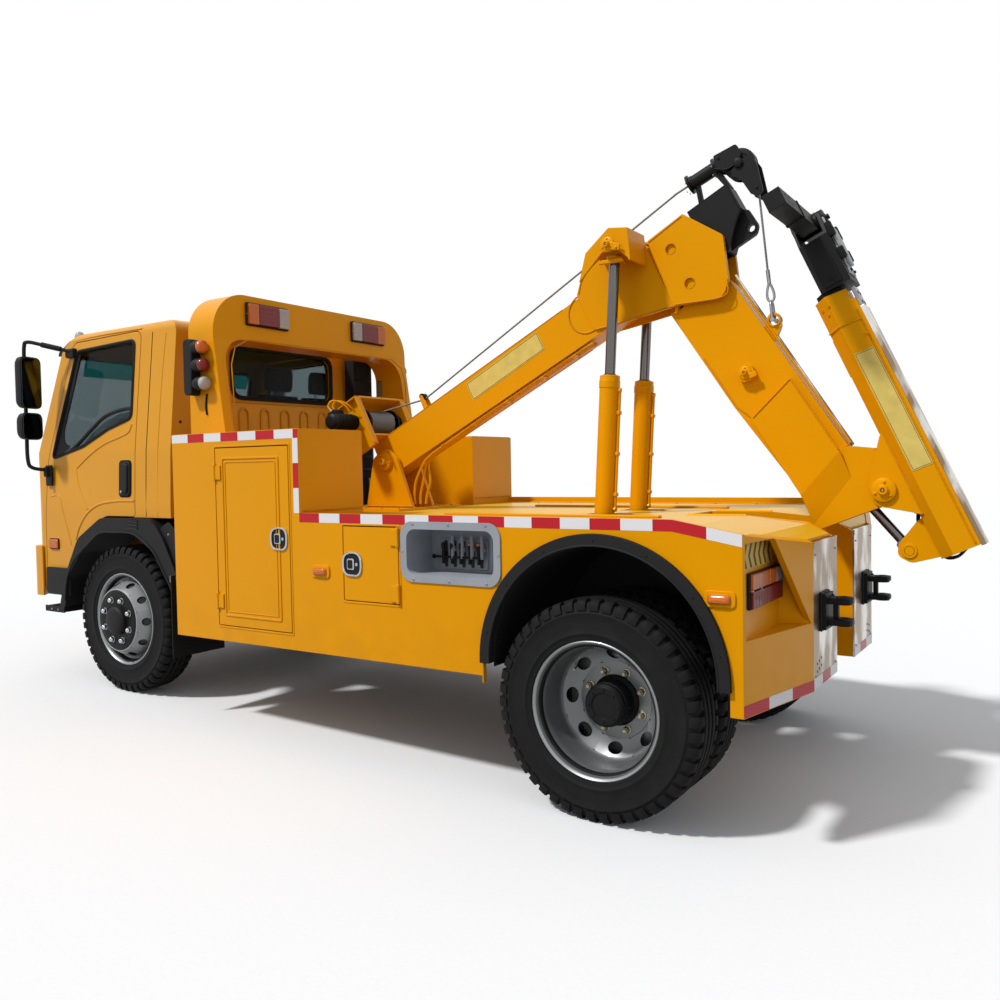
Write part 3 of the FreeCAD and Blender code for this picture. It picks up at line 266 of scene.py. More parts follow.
class TruckColours(bpy.types.PropertyGroup):
    """Colours of the truck's finishes, as linear values"""
    body: colour("Body yellow", "Paint on the recovery body, boom and underlift", (0.70, 0.28, 0.0008))
    cab: colour("Cab yellow", "Paint on the cab", (0.64, 0.275, 0.012))
    dark: colour("Dark steel", "Satin black on chassis, winch and hooks", (0.0035, 0.0038, 0.0038))
    wheel: colour("Wheel silver", "Paint on the wheels", (0.27, 0.28, 0.285))
    tape_red: colour("Tape red", "Red stretches of the reflective tape", (0.44, 0.004, 0.012))
    tape_white: colour("Tape white", "White stretches of the reflective tape", (0.68, 0.67, 0.68))
    amber: colour("Amber lens", "Turn signal and marker lenses", (0.66, 0.15, 0.008))
    red: colour("Red lens", "Tail and stop lenses", (0.22, 0.006, 0.009))
    gold: colour("Plate gold", "Blank plates on boom and underlift", (0.62, 0.47, 0.12))


class TruckSizes(bpy.types.PropertyGroup):
    """Sizes that a user may change"""
    tyre_radius: FloatProperty(name="Tyre radius", description="Radius over the tread", default=0.495,
                               min=0.4, max=0.6, unit="LENGTH")
    tyre_width: FloatProperty(name="Tyre width", description="Width over the side walls", default=0.235,
                              min=0.18, max=0.3, unit="LENGTH")
    tread_blocks: IntProperty(name="Tread blocks", description="Blocks around one tyre", default=46, min=20,
                              max=80)
    tread_depth: FloatProperty(name="Tread depth", description="Depth of the grooves", default=0.015,
                               min=0.005, max=0.03, unit="LENGTH")
    tape_height: FloatProperty(name="Tape height", description="Height of the reflective tape", default=0.049,
                               min=0.03, max=0.08, unit="LENGTH")
    tape_length: FloatProperty(name="Tape stretch", description="Length of one colour of tape", default=0.146,
                               min=0.08, max=0.3, unit="LENGTH")
    rope_radius: FloatProperty(name="Rope radius", description="Radius of the winch rope", default=0.0055,
                               min=0.003, max=0.01, unit="LENGTH")
    wheel_nuts: IntProperty(name="Wheel nuts", description="Nuts on each wheel", default=8, min=5, max=12)


class TruckStage(bpy.types.PropertyGroup):
    """Camera and light"""
    focal: FloatProperty(name="Focal length", description="Lens of the camera, in millimetres",
                         default=32.44, min=20, max=100)
    sky: FloatProperty(name="Sky strength", description="Strength of the even light", default=0.55, min=0,
                       max=2)
    sun: FloatProperty(name="Sun strength", description="Strength of the sun lamp", default=3.0, min=0, max=6)
    fill: FloatProperty(name="Fill strength", description="Strength of the fill lamp", default=0.12, min=0,
                        max=3)


def mm(size):
    return size * 1000.0


# ---------------------------------------------------------------- shader maths

class Value:
    """A shader socket that can be used in sums."""

    def __init__(self, graph, socket):
        self.graph, self.socket = graph, socket

    def maths(self, operation, *others):
        return self.graph.value("ShaderNodeMath", {"operation": operation},
                                {i: v for i, v in enumerate(others)})

    def __add__(self, other):
        return self.maths("ADD", self, other)

    def __mul__(self, other):
        return self.maths("MULTIPLY", self, other)

    def __sub__(self, other):
        return self.maths("SUBTRACT", self, other)

    def __rsub__(self, other):
        return self.maths("SUBTRACT", other, self)

    def __truediv__(self, other):
        return self.maths("DIVIDE", self, other)

    def __pow__(self, other):
        return self.maths("POWER", self, other)

    def __gt__(self, other):
        return self.maths("GREATER_THAN", self, other)

    def __lt__(self, other):
        return self.maths("LESS_THAN", self, other)

    __radd__ = __add__
    __rmul__ = __mul__

    def fraction(self):
        return self.maths("FRACT", self)

    def absolute(self):
        return self.maths("ABSOLUTE", self)

    def sine(self):
        return self.maths("SINE", self)

    def clipped(self, low, high):
        """0 at low, 1 at high, held outside."""
        return self.graph.value("ShaderNodeMapRange", {"clamp": True}, {"Value": self, "From Min": low,
                                                                        "From Max": high})


class Graph:
    """The node tree of one material, or of the world."""

    def __init__(self, owner):
        self.material = bpy.data.materials.new(owner) if isinstance(owner, str) else owner
        self.material.use_nodes = True
        self.tree = self.material.node_tree
        self.tree.nodes.clear()

    def node(self, kind, settings=None, sockets=None):
        made = self.tree.nodes.new(kind)
        for key, setting in (settings or {}).items():
            if key == "stops":
                fill_ramp(made.color_ramp, setting)
            else:
                setattr(made, key, setting)
        for key, given in (sockets or {}).items():
            self.feed(made.inputs[key], given)
        return made

    def feed(self, socket, given):
        if isinstance(given, Value):
            given = given.socket
        if isinstance(given, bpy.types.NodeSocket):
            self.tree.links.new(given, socket)
        elif hasattr(given, "__len__") and len(given) == 3 and socket.type == "RGBA":
            socket.default_value = (*given, 1)
        else:
            socket.default_value = given

    def value(self, kind, settings=None, sockets=None, out=0):
        return Value(self, self.node(kind, settings, sockets).outputs[out])

    def place(self):
        return self.node("ShaderNodeTexCoord").outputs["Object"]

    def axes(self, where=None):
        made = self.node("ShaderNodeSeparateXYZ", {}, {0: where or self.place()})
        return [Value(self, made.outputs[i]) for i in range(3)]

    def noise(self, scale, detail=2.0, where=None):
        return self.value("ShaderNodeTexNoise", {},
                          {"Vector": where or self.place(), "Scale": scale, "Detail": detail})

    def cells(self, scale, feature="F1"):
        return self.value("ShaderNodeTexVoronoi", {"feature": feature},
                          {"Vector": self.place(), "Scale": scale})

    def mixed(self, share, first, second):
        made = self.node("ShaderNodeMix", {"data_type": "RGBA"}, {0: share, 6: first, 7: second})
        return made.outputs[2]

    def bump(self, height, strength, distance, edge=0.0):
        sockets = {"Height": height, "Strength": strength, "Distance": distance}
        if edge:
            sockets["Normal"] = self.node("ShaderNodeBevel", {"samples": 4}, {"Radius": edge}).outputs[0]
        return self.node("ShaderNodeBump", {}, sockets).outputs[0]

    def surface(self, sockets):
        shader = self.node("ShaderNodeBsdfPrincipled", {}, sockets)
        self.node("ShaderNodeOutputMaterial", {}, {0: shader.outputs[0]})
        return self.material


def fill_ramp(ramp, stops):
    while len(ramp.elements) < len(stops):
        ramp.elements.new(1)
    for element, (position, shade) in zip(ramp.elements, stops):
        element.position = position
        element.color = (*shade, 1)


def darker(shade, share):
    return tuple(c * share for c in shade)


def paint(name, shade, tint, edge=0.004):
    """Gloss paint with soft edges, orange peel, faint tone changes and road dust low down."""
    g = Graph(name)
    _, _, z = g.axes()
    tone = g.noise(1.3, 3.0)
    dust = (1 - z.clipped(0.35, 0.95)) * g.noise(9.0, 6.0).clipped(0.35, 0.75) * 0.35
    base = g.mixed(tone, darker(shade, 0.93), tuple(min(c * 1.07, 1) for c in shade))
    base = g.mixed(dust, base, (0.3, 0.15, 0.02))
    peel = g.noise(420.0, 1.0)
    return g.surface({"Base Color": base, "Roughness": 0.3 + tone * 0.12 + dust * 0.5,
                      "Specular IOR Level": 0.5, "Specular Tint": tint,
                      "Normal": g.bump(peel, 0.06, 0.0006, edge)})


def satin(name, shade, rough=0.42, edge=0.002, metallic=0.0):
    """Painted or cast dark metal with fine grit."""
    g = Graph(name)
    grit = g.noise(260.0, 4.0)
    wear = g.noise(14.0, 5.0)
    base = g.mixed(wear, darker(shade, 0.8), tuple(min(c * 1.3 + 0.001, 1) for c in shade))
    return g.surface({"Base Color": base, "Roughness": rough + wear * 0.16, "Metallic": metallic,
                      "Specular IOR Level": 0.16,
                      "Normal": g.bump(grit, 0.12, 0.0005, edge)})


def moulded(name, shade, rough=0.55):
    """Grained plastic."""
    g = Graph(name)
    grain = g.cells(900.0)
    tone = g.noise(6.0, 3.0)
    base = g.mixed(tone, darker(shade, 0.85), tuple(min(c * 1.2, 1) for c in shade))
    return g.surface({"Base Color": base, "Roughness": rough + tone * 0.1, "Specular IOR Level": 0.2,
                      "Normal": g.bump(grain, 0.15, 0.0004, 0.002)})


def rubber(name, shade):
    """Tyre and seal rubber, with a dusty bloom."""
    g = Graph(name)
    bloom = g.noise(11.0, 5.0)
    fine = g.noise(500.0, 2.0)
    base = g.mixed(bloom.clipped(0.4, 0.8), shade, tuple(c * 1.6 + 0.002 for c in shade))
    return g.surface({"Base Color": base, "Roughness": 0.62 + bloom * 0.2, "Specular IOR Level": 0.14,
                      "Normal": g.bump(fine, 0.15, 0.0004)})


def polished(name, shade, rough=0.1):
    """Chromed or ground bar with faint turning lines."""
    g = Graph(name)
    _, _, z = g.axes()
    lines = (z * 2600.0).sine() * 0.5 + 0.5
    smear = g.noise(7.0, 4.0)
    return g.surface({"Base Color": g.mixed(smear, darker(shade, 0.85), shade), "Metallic": 1.0,
                      "Roughness": rough + smear * 0.1, "Normal": g.bump(lines, 0.02, 0.0002)})


def brushed(name, shade, rough=0.26, soiled=0.0):
    """Sheet metal with long brush marks, soft waves from rolling and upright stains."""
    g = Graph(name)
    x, y, z = g.axes()
    where = g.node("ShaderNodeCombineXYZ", {}, {0: x * 12.0, 1: y * 400.0, 2: z * 12.0}).outputs[0]
    marks = g.noise(1.0, 3.0, where)
    waves = g.noise(3.2, 2.0)
    upright = g.node("ShaderNodeCombineXYZ", {}, {0: x * 7.0, 1: y * 7.0, 2: z * 3.2}).outputs[0]
    stain = g.noise(1.0, 4.0, upright).clipped(0.4, 0.54) * soiled
    base = g.mixed(stain, g.mixed(marks, darker(shade, 0.8), shade), (0.22, 0.14, 0.07))
    return g.surface({"Base Color": base, "Metallic": 1.0, "Roughness": rough + marks * 0.14,
                      "Normal": g.bump(waves, 0.35, 0.006)})


def silver(name, shade):
    """Sprayed wheel silver."""
    g = Graph(name)
    flake = g.noise(900.0, 1.0)
    tone = g.noise(8.0, 3.0)
    base = g.mixed(tone, darker(shade, 0.9), tuple(min(c * 1.12, 1) for c in shade))
    return g.surface({"Base Color": base, "Metallic": 0.55, "Roughness": 0.32 + tone * 0.14,
                      "Coat Weight": 0.2, "Normal": g.bump(flake, 0.05, 0.0003, 0.0015)})


def lens(name, shade, ribs=520.0):
    """Moulded lamp lens with fine prisms, and painted light: full colour where it faces the viewer, darker towards its
    grazing rim.
    """
    g = Graph(name)
    _, y, z = g.axes()
    prisms = (y * ribs).sine() * (z * ribs).sine()
    # painted light: a painted glow where the lens faces the viewer, and painted shade darkening it to 0.45 towards its
    # grazing rim
    glow = g.value("ShaderNodeLayerWeight", {}, {"Blend": 0.35}, out=1)
    base = g.mixed(glow, shade, darker(shade, 0.45))
    return g.surface({"Base Color": base, "Roughness": 0.16 + prisms.absolute() * 0.08, "Coat Weight": 0.2,
                      "Coat Roughness": 0.06, "Specular IOR Level": 0.3,
                      "Normal": g.bump(prisms, 0.35, 0.001)})


def tape(name, shade):
    """Reflective tape: a lattice of small sealed cells under a glossy film, with painted glints."""
    g = Graph(name)
    x, _, z = g.axes()
    across = ((x + z) * 62.5).fraction() - 0.5
    along = ((x - z) * 62.5).fraction() - 0.5
    seam = 1 - (across.absolute() > 0.06) * (along.absolute() > 0.06)
    # painted glints: a cell pattern lightens the tape colour, standing in for light sparkling off it
    sparkle = g.cells(700.0)
    base = g.mixed(seam * 0.3, g.mixed(sparkle * 0.5, shade, tuple(min(c * 1.35 + 0.01, 1) for c in shade)),
                   tuple(min(c * 0.7 + 0.03, 1) for c in shade))
    return g.surface({"Base Color": base, "Roughness": 0.3 + seam * 0.2, "Coat Weight": 0.08,
                      "Specular IOR Level": 0.2, "Normal": g.bump(seam, 0.1, 0.0004)})


def glazed(name, shade, rough=0.02):
    """Tinted window glass."""
    g = Graph(name)
    haze = g.noise(3.0, 2.0)
    base = g.mixed(haze, darker(shade, 0.92), shade)
    return g.surface({"Base Color": base, "Roughness": rough + haze * 0.02, "Transmission Weight": 1.0,
                      "IOR": 1.12})


def woven(name, shade, pitch=900.0):
    """Seat cloth with a plain weave."""
    g = Graph(name)
    x, y, z = g.axes()
    warp = ((y + x * 0.3) * pitch).sine() * ((z + x * 0.7) * pitch).sine()
    fleck = g.noise(60.0, 4.0)
    base = g.mixed(warp.absolute() * 0.7 + fleck * 0.3, darker(shade, 0.6), shade)
    return g.surface({"Base Color": base, "Roughness": 0.85 + fleck * 0.1, "Sheen Weight": 0.25,
                      "Normal": g.bump(warp, 0.4, 0.0012)})


def chequer(name, shade, tint):
    """Painted tread plate: raised lozenges set alternately."""
    g = Graph(name)
    x, y, _ = g.axes()
    cell_x, cell_y = (x * 22.0).fraction() - 0.5, (y * 22.0).fraction() - 0.5
    turn = ((x * 11.0).fraction() > 0.5) - ((y * 11.0).fraction() > 0.5)
    lengthways = 1 - ((cell_x * cell_x * 5.0) + (cell_y * cell_y * 60.0))
    crossways = 1 - ((cell_x * cell_x * 60.0) + (cell_y * cell_y * 5.0))
    pick = turn.absolute()
    height = (lengthways * pick + crossways * (1 - pick)).clipped(0.0, 0.6)
    tone = g.noise(2.0, 4.0)
    scuff = height * g.noise(30.0, 4.0).clipped(0.5, 0.8)
    base = g.mixed(scuff * 0.25, g.mixed(tone, darker(shade, 0.92), shade),
                   tuple(min(c * 1.25 + 0.03, 1) for c in shade))
    return g.surface({"Base Color": base, "Roughness": 0.34 + tone * 0.12, "Specular IOR Level": 0.5,
                      "Specular Tint": tint, "Normal": g.bump(height, 0.5, 0.0022, 0.003)})


def stranded(name, shade):
    """Wire rope lay, with painted shade in the grooves between the strands."""
    g = Graph(name)
    x, y, z = g.axes()
    lay = ((x * 0.9 + z * 0.45) * 1100.0 + y * 900.0).sine()
    # painted shade: the colour darkens to 0.45 in the grooves between strands, where the lay's bump is low
    base = g.mixed(lay * 0.5 + 0.5, darker(shade, 0.45), shade)
    return g.surface({"Base Color": base, "Metallic": 0.7, "Roughness": 0.42 + lay * 0.08,
                      "Normal": g.bump(lay, 0.6, 0.0012)})


def perforated(name, shade):
    """Sheet with round holes, drawn as dark dots on a bright sheet: painted shade for the dark seen through the holes.
    """
    g = Graph(name)
    x, _, z = g.axes()
    cell_a, cell_b = (x * 70.0).fraction() - 0.5, (z * 70.0).fraction() - 0.5
    hole = (cell_a * cell_a + cell_b * cell_b) < 0.1
    # painted shade: the holes are not cut, and their dots take a near-black colour
    base = g.mixed(hole, shade, (0.03, 0.02, 0.01))
    return g.surface({"Base Color": base, "Metallic": 0.4, "Roughness": 0.4 + hole * 0.4,
                      "Normal": g.bump(1 - hole, 0.4, 0.001)})


LOOKS = {}


def make_looks():
    shades = bpy.context.scene.truck_colours
    steel, gilt = (0.33, 0.33, 0.35), (1.0, 0.7, 0.04)
    made = [paint("body_paint", tuple(shades.body), gilt),
            paint("cab_paint", tuple(shades.cab), (1.0, 0.74, 0.25)),
            # painted light: the deck plate takes a lighter, yellower copy of the body yellow, as its top looks in
            # sunlight
            chequer("deck_plate_painted_sunlit", (0.72, 0.4, 0.015), (1.0, 0.85, 0.2)),
            satin("black_steel", tuple(shades.dark)), satin("chassis_steel", (0.016, 0.016, 0.018), 0.5),
            satin("cast_iron", (0.12, 0.12, 0.125), 0.6),
            satin("zinc_bolt", (0.34, 0.31, 0.22), 0.34, 0.0008, 0.9),
            satin("grey_casting", (0.35, 0.36, 0.38), 0.45, 0.003, 0.3),
            satin("weld_paint", darker(shades.body, 0.8), 0.4),
            moulded("black_plastic", (0.0065, 0.0065, 0.0072)),
            moulded("grey_plastic", (0.29, 0.31, 0.34), 0.42), moulded("dash_plastic", (0.03, 0.032, 0.035)),
            rubber("tyre_rubber", (0.0062, 0.006, 0.0058)), rubber("seal_rubber", (0.005, 0.005, 0.0055)),
            rubber("flap_rubber", (0.007, 0.007, 0.0075)), rubber("hose_rubber", (0.01, 0.01, 0.011)),
            polished("chrome_rod", (0.16, 0.15, 0.15), 0.13),
            polished("bright_chrome", (0.5, 0.51, 0.53), 0.07),
            polished("mirror_glass", (0.1, 0.12, 0.13), 0.02),
            brushed("stainless", (0.72, 0.70, 0.66), 0.26, 0.9), brushed("bright_steel", steel, 0.35),
            # painted shade: the darker wheel finish is the wheel silver at 0.62, for the recessed rear rims
            silver("wheel_silver", tuple(shades.wheel)), silver("wheel_grey", darker(shades.wheel, 0.62)),
            lens("amber_lens", tuple(shades.amber)), lens("red_lens", tuple(shades.red)),
            lens("clear_lens", (0.45, 0.42, 0.4)), tape("red_tape", tuple(shades.tape_red)),
            tape("white_tape", tuple(shades.tape_white)), glazed("window_glass", (0.3, 0.35, 0.36)),
            glazed("sun_band", (0.03, 0.42, 0.38)), woven("seat_fabric", (0.075, 0.078, 0.085)),
            woven("seat_side", (0.045, 0.045, 0.05), 500.0), stranded("wire_rope", (0.26, 0.25, 0.24)),
            perforated("grille_mesh", (0.55, 0.36, 0.10)),
            satin("plate_gold", tuple(shades.gold), 0.35, 0.001),
            satin("plate_line", (0.02, 0.02, 0.015), 0.5), satin("chevron_yellow", (0.55, 0.42, 0.10), 0.4),
            satin("chevron_dark", (0.13, 0.055, 0.02), 0.45),]
    for material in made:
        LOOKS[material.name.split(".")[0]] = material


def dress(nodes, look):
    for node in nodes.split():
        for place in frame["nodes"][node].material_slots:
            place.material = LOOKS[look]


# ---------------------------------------------------------------- mesh helpers

def rounded(points, steps=5):
    """A closed 2-D outline; each point is (a, b) or (a, b, corner radius)."""
    made = []
    for index, here in enumerate(points):
        corner = Vector(here[:2])
        radius = here[2] if len(here) > 2 else 0
        before = Vector(points[index - 1][:2]) - corner
        after = Vector(points[(index + 1) % len(points)][:2]) - corner
        if radius <= 0 or before.length < 1e-6 or after.length < 1e-6:
            made.append(tuple(corner))
            continue
        reach_1, reach_2 = before.length * 0.49, after.length * 0.49
        before.normalize()
        after.normalize()
        half = math.acos(max(-1, min(1, before.dot(after)))) / 2
        reach = min(radius / math.tan(half), reach_1, reach_2)
        for step in range(steps + 1):
            t = step / steps
            made.append(tuple(corner + before * reach * (1 - t) ** 2 + after * reach * t ** 2))
    return made


def block(a0, a1, b0, b1, radius=0):
    return [(a0, b0, radius), (a1, b0, radius), (a1, b1, radius), (a0, b1, radius)]


def shrunk(outline, distance):
    """An outline of plain points with its sides moved inward."""
    count = len(outline)
    turn = sum(outline[i - 1][0] * outline[i][1] - outline[i][0] * outline[i - 1][1] for i in range(count))
    sign = 1 if turn > 0 else -1
    made = []
    for i in range(count):
        here = Vector(outline[i])
        first, second = here - Vector(outline[i - 1]), Vector(outline[(i + 1) % count]) - here
        if first.length < 1e-6 or second.length < 1e-6:
            made.append(tuple(here))
            continue
        first.normalize()
        second.normalize()
        normal = Vector((-first.y - second.y, first.x + second.x))
        scale = max(normal.length_squared / 2, 0.3)
        made.append(tuple(here + normal * sign * distance / scale))
    return made


def basis(direction):
    """Two unit vectors across a direction."""
    direction = Vector(direction).normalized()
    helper = Vector((0, 0, 1)) if abs(direction.z) < 0.9 else Vector((1, 0, 0))
    first = direction.cross(helper).normalized()
    return first, direction.cross(first).normalized()


def curved(points, steps=6):
    """A smooth path through points."""
    points = [Vector(p) for p in points]
    ends = [points[0] * 2 - points[1]] + points + [points[-1] * 2 - points[-2]]
    made = []
    for i in range(1, len(ends) - 2):
        a, b, c, d = ends[i - 1:i + 3]
        for step in range(steps):
            t = step / steps
            made.append(0.5 * (2 * b + (c - a) * t + (2 * a - 5 * b + 4 * c - d) * t ** 2
                               + (3 * b - a - 3 * c + d) * t ** 3))
    return made + [points[-1]]


PLANES = {"x": lambda d, a, b: (d, a, b), "y": lambda d, a, b: (a, d, b), "z": lambda d, a, b: (a, b, d)}


class Shape:
    """Vertices and faces of one piece, in millimetres in the space that it is drawn in."""

    def __init__(self, space=None, flip=False, wrap=None):
        self.space = BODY @ (space or Matrix())
        self.flip, self.wrap = flip, wrap
        self.points, self.faces, self.marks, self.names = [], [], [], []

    def add(self, points, faces, look):
        base = len(self.points)
        for point in points:
            point = Vector(point)
            if self.wrap:
                point = self.wrap(point)
            if self.flip:
                point = Vector((point.x, -point.y, point.z))
            self.points.append(self.space @ point)
        if look not in self.names:
            self.names.append(look)
        mark = self.names.index(look)
        for face in faces:
            self.faces.append([base + i for i in face])
            self.marks.append(mark)
        return self

    def loops(self, rings, look, closed=False, caps=True):
        """Joins equal rings of points, one after another."""
        count = len(rings[0])
        faces = []
        last = len(rings) if closed else len(rings) - 1
        for i in range(last):
            low, high = i * count, (i + 1) % len(rings) * count
            for j in range(count):
                k = (j + 1) % count
                faces.append([low + j, low + k, high + k, high + j])
        if caps and not closed:
            faces += [list(range(count))[::-1], [len(rings) * count - count + j for j in range(count)]]
        return self.add([p for ring in rings for p in ring], faces, look)

    def prism(self, axis, outline, start, end, look, bevel=1.5):
        """An outline in the plane across axis, thick from start to end, its rims bevelled."""
        plain = rounded(outline)
        put = PLANES[axis]
        inner = shrunk(plain, bevel) if bevel else plain
        step = bevel if end > start else -bevel
        levels = [(start, inner), (start + step, plain), (end - step, plain), (end, inner)] if bevel else \
            [(start, plain), (end, plain)]
        return self.loops([[put(d, *p) for p in ring] for d, ring in levels], look)

    def slab(self, x0, x1, y0, y1, z0, z1, look, bevel=2.0):
        bevel = min(bevel, abs(x1 - x0) / 3, abs(y1 - y0) / 3, abs(z1 - z0) / 3)
        return self.prism("z", block(x0, x1, y0, y1, bevel), z0, z1, look, bevel)

    def lathe(self, profile, centre, direction, look, steps=48, closed=False):
        """(radius, along) points turned about the line through centre."""
        centre, direction = Vector(centre), Vector(direction).normalized()
        a, b = basis(direction)
        rings = []
        for radius, along in profile:
            radius = max(radius, 0.05)
            rings.append([centre + direction * along + (a * math.cos(t) + b * math.sin(t)) * radius
                          for t in (2 * math.pi * i / steps for i in range(steps))])
        return self.loops(rings, look, closed)

    def disc(self, centre, direction, radius, height, look, steps=32, bevel=1.5):
        bevel = min(bevel, height / 2.5, radius / 3)
        return self.lathe([(radius, 0), (radius, height - bevel), (radius - bevel, height)], centre,
                          direction, look, steps)

    def dome(self, centre, direction, radius, height, look, steps=32):
        profile = [(radius * math.cos(t), height * math.sin(t)) for t in (i * math.pi / 16 for i in range(9))]
        return self.lathe(profile, centre, direction, look, steps)

    def tube(self, path, radius, look, sides=12, closed=False):
        path = [Vector(p) for p in path]
        rings, across = [], None
        for i, point in enumerate(path):
            if closed:
                heading = path[(i + 1) % len(path)] - path[i - 1]
            else:
                heading = path[min(i + 1, len(path) - 1)] - path[max(i - 1, 0)]
            heading.normalize()
            if across is None:
                across = basis(heading)[0]
            else:
                across = (across - heading * across.dot(heading)).normalized()
            other = heading.cross(across)
            rings.append([point + (across * math.cos(t) + other * math.sin(t)) * radius
                          for t in (2 * math.pi * j / sides for j in range(sides))])
        return self.loops(rings, look, closed)

    def bolt(self, centre, direction, size, look="zinc_bolt", height=None):
        """A washer and a hexagon head."""
        direction = Vector(direction).normalized()
        height = height or size * 0.65
        self.disc(centre, direction, size * 1.05, size * 0.18, look, 20, 0.4)
        self.lathe([(size * 0.58 * 1.1, 0), (size * 0.58 * 1.1, height * 0.88), (size * 0.5, height)],
                   Vector(centre) + direction * size * 0.15, direction, look, 6)
        return self

    def bolts(self, centre, direction, radius, count, size, look="zinc_bolt", turn=0.0):
        a, b = basis(direction)
        for i in range(count):
            t = 2 * math.pi * i / count + turn
            self.bolt(Vector(centre) + (a * math.cos(t) + b * math.sin(t)) * radius, direction, size, look)
        return self

    def sheet(self, rows, thick, look):
        """A surface given as rows of points, given a thickness along its own normals."""
        rows = [[Vector(p) for p in row] for row in rows]
        high, wide = len(rows), len(rows[0])
        back = []
        for i in range(high):
            for j in range(wide):
                up = rows[min(i + 1, high - 1)][j] - rows[max(i - 1, 0)][j]
                along = rows[i][min(j + 1, wide - 1)] - rows[i][max(j - 1, 0)]
                back.append(rows[i][j] - along.cross(up).normalized() * thick)
        front = [p for row in rows for p in row]
        total = high * wide
        faces = []
        for i in range(high - 1):
            for j in range(wide - 1):
                a = i * wide + j
                faces.append([a, a + 1, a + wide + 1, a + wide])
                faces.append([total + a + wide, total + a + wide + 1, total + a + 1, total + a])
        rim = [j for j in range(wide)] + [i * wide + wide - 1 for i in range(1, high)]
        rim += [(high - 1) * wide + j for j in range(wide - 2, -1, -1)]
        rim += [i * wide for i in range(high - 2, 0, -1)]
        for k, a in enumerate(rim):
            b = rim[(k + 1) % len(rim)]
            faces.append([b, a, total + a, total + b])
        return self.add(front + back, faces, look)

    def piece(self, name, body, slot, smooth=38):
        mesh = bpy.data.meshes.new(name)
        mesh.from_pydata([tuple(p) for p in self.points], [], self.faces)
        for look in self.names:
            mesh.materials.append(LOOKS[look])
        mesh.polygons.foreach_set("material_index", self.marks)
        fresh = bmesh.new()
        fresh.from_mesh(mesh)
        bmesh.ops.recalc_face_normals(fresh, faces=fresh.faces)
        fresh.to_mesh(mesh)
        fresh.free()
        mesh.polygons.foreach_set("use_smooth", [True] * len(mesh.polygons))
        mesh.set_sharp_from_angle(angle=math.radians(smooth))
        made = bpy.data.objects.new(name, mesh)
        bpy.context.scene.collection.objects.link(made)
        if body:
            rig.ride(made, body)
        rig.slot(made, slot)
        return made


# ---------------------------------------------------------------- wheels

def tyre(shape, centre, out, sizes):
    """A block-treaded tyre about a centre; out is +1 or -1, the way its outer side faces."""
    radius, half = mm(sizes.tyre_radius), mm(sizes.tyre_width) / 2
    depth = mm(sizes.tread_depth)
    floor = radius - depth
    profile = [(281, -92), (286, -100), (300, -107), (316, -109), (340, -half + 2), (372, -half),
               (420, -half + 1), (452, -half + 7), (floor - 6, -half + 16), (floor, -half + 26),
               (floor, half - 26), (floor - 6, half - 16), (452, half - 7), (436, half - 2.6),
               (433, half + 0.3), (428, half + 0.3), (425, half - 1.6), (390, half - 0.2), (372, half),
               (350, half - 0.6), (347, half + 1.4), (340, half + 1.4), (337, half - 1.6), (322, half - 6),
               (317, half - 6.5), (314, half - 8), (311, 96), (300, 88), (286, 84), (281, 80)]
    axis = Vector((0, out, 0))
    shape.lathe(profile, centre, axis, "tyre_rubber", 128, True)
    for low, high in ((-half + 62, -half + 88), (-13, 13), (half - 88, half - 62)):
        shape.lathe([(floor - 1, low - 2), (radius - 1, low), (radius, low + 2), (radius, high - 2),
                     (radius - 1, high), (floor - 1, high + 2)], centre, axis, "tyre_rubber", 128, True)
    a, b = basis(axis)
    count = sizes.tread_blocks
    pitch = 2 * math.pi / count

    def at(angle, r, along):
        return Vector(centre) + (a * math.cos(angle) + b * math.sin(angle)) * r + axis * along

    for i in range(count):
        middle = i * pitch
        for side in (-1, 1):
            shift = middle + (0.25 * pitch if side > 0 else -0.25 * pitch)
            rows = []
            for share in (-0.33, -0.29, 0.29, 0.33):
                drop = 3 if abs(share) > 0.3 else 0
                rows.append([at(shift + share * pitch, r - drop * fall, side * y) for r, y,
                             fall in ((floor - 2, half - 54, 0), (radius - 1, half - 53, 1),
                                      (radius, half - 50, 1), (radius - 1.5, half - 24, 1),
                                      (radius - 8, half - 10, 1), (radius - 26, half - 0.5, 1),
                                      (radius - 50, half + 0.6, 0.3), (radius - 52, half - 12, 0),
                                      (floor - 4, half - 40, 0))])
            shape.loops(rows, "tyre_rubber")
        for low, high in ((-half + 66, -16), (16, half - 66)):
            rows = []
            for share in (-0.2, 0.2):
                lean = 0.12 * pitch
                rows.append([at(middle + share * pitch - lean, floor - 2, low),
                             at(middle + share * pitch - lean, radius - 6, low),
                             at(middle + share * pitch + lean, radius - 6, high),
                             at(middle + share * pitch + lean, floor - 2, high)])
            shape.loops(rows, "tyre_rubber")


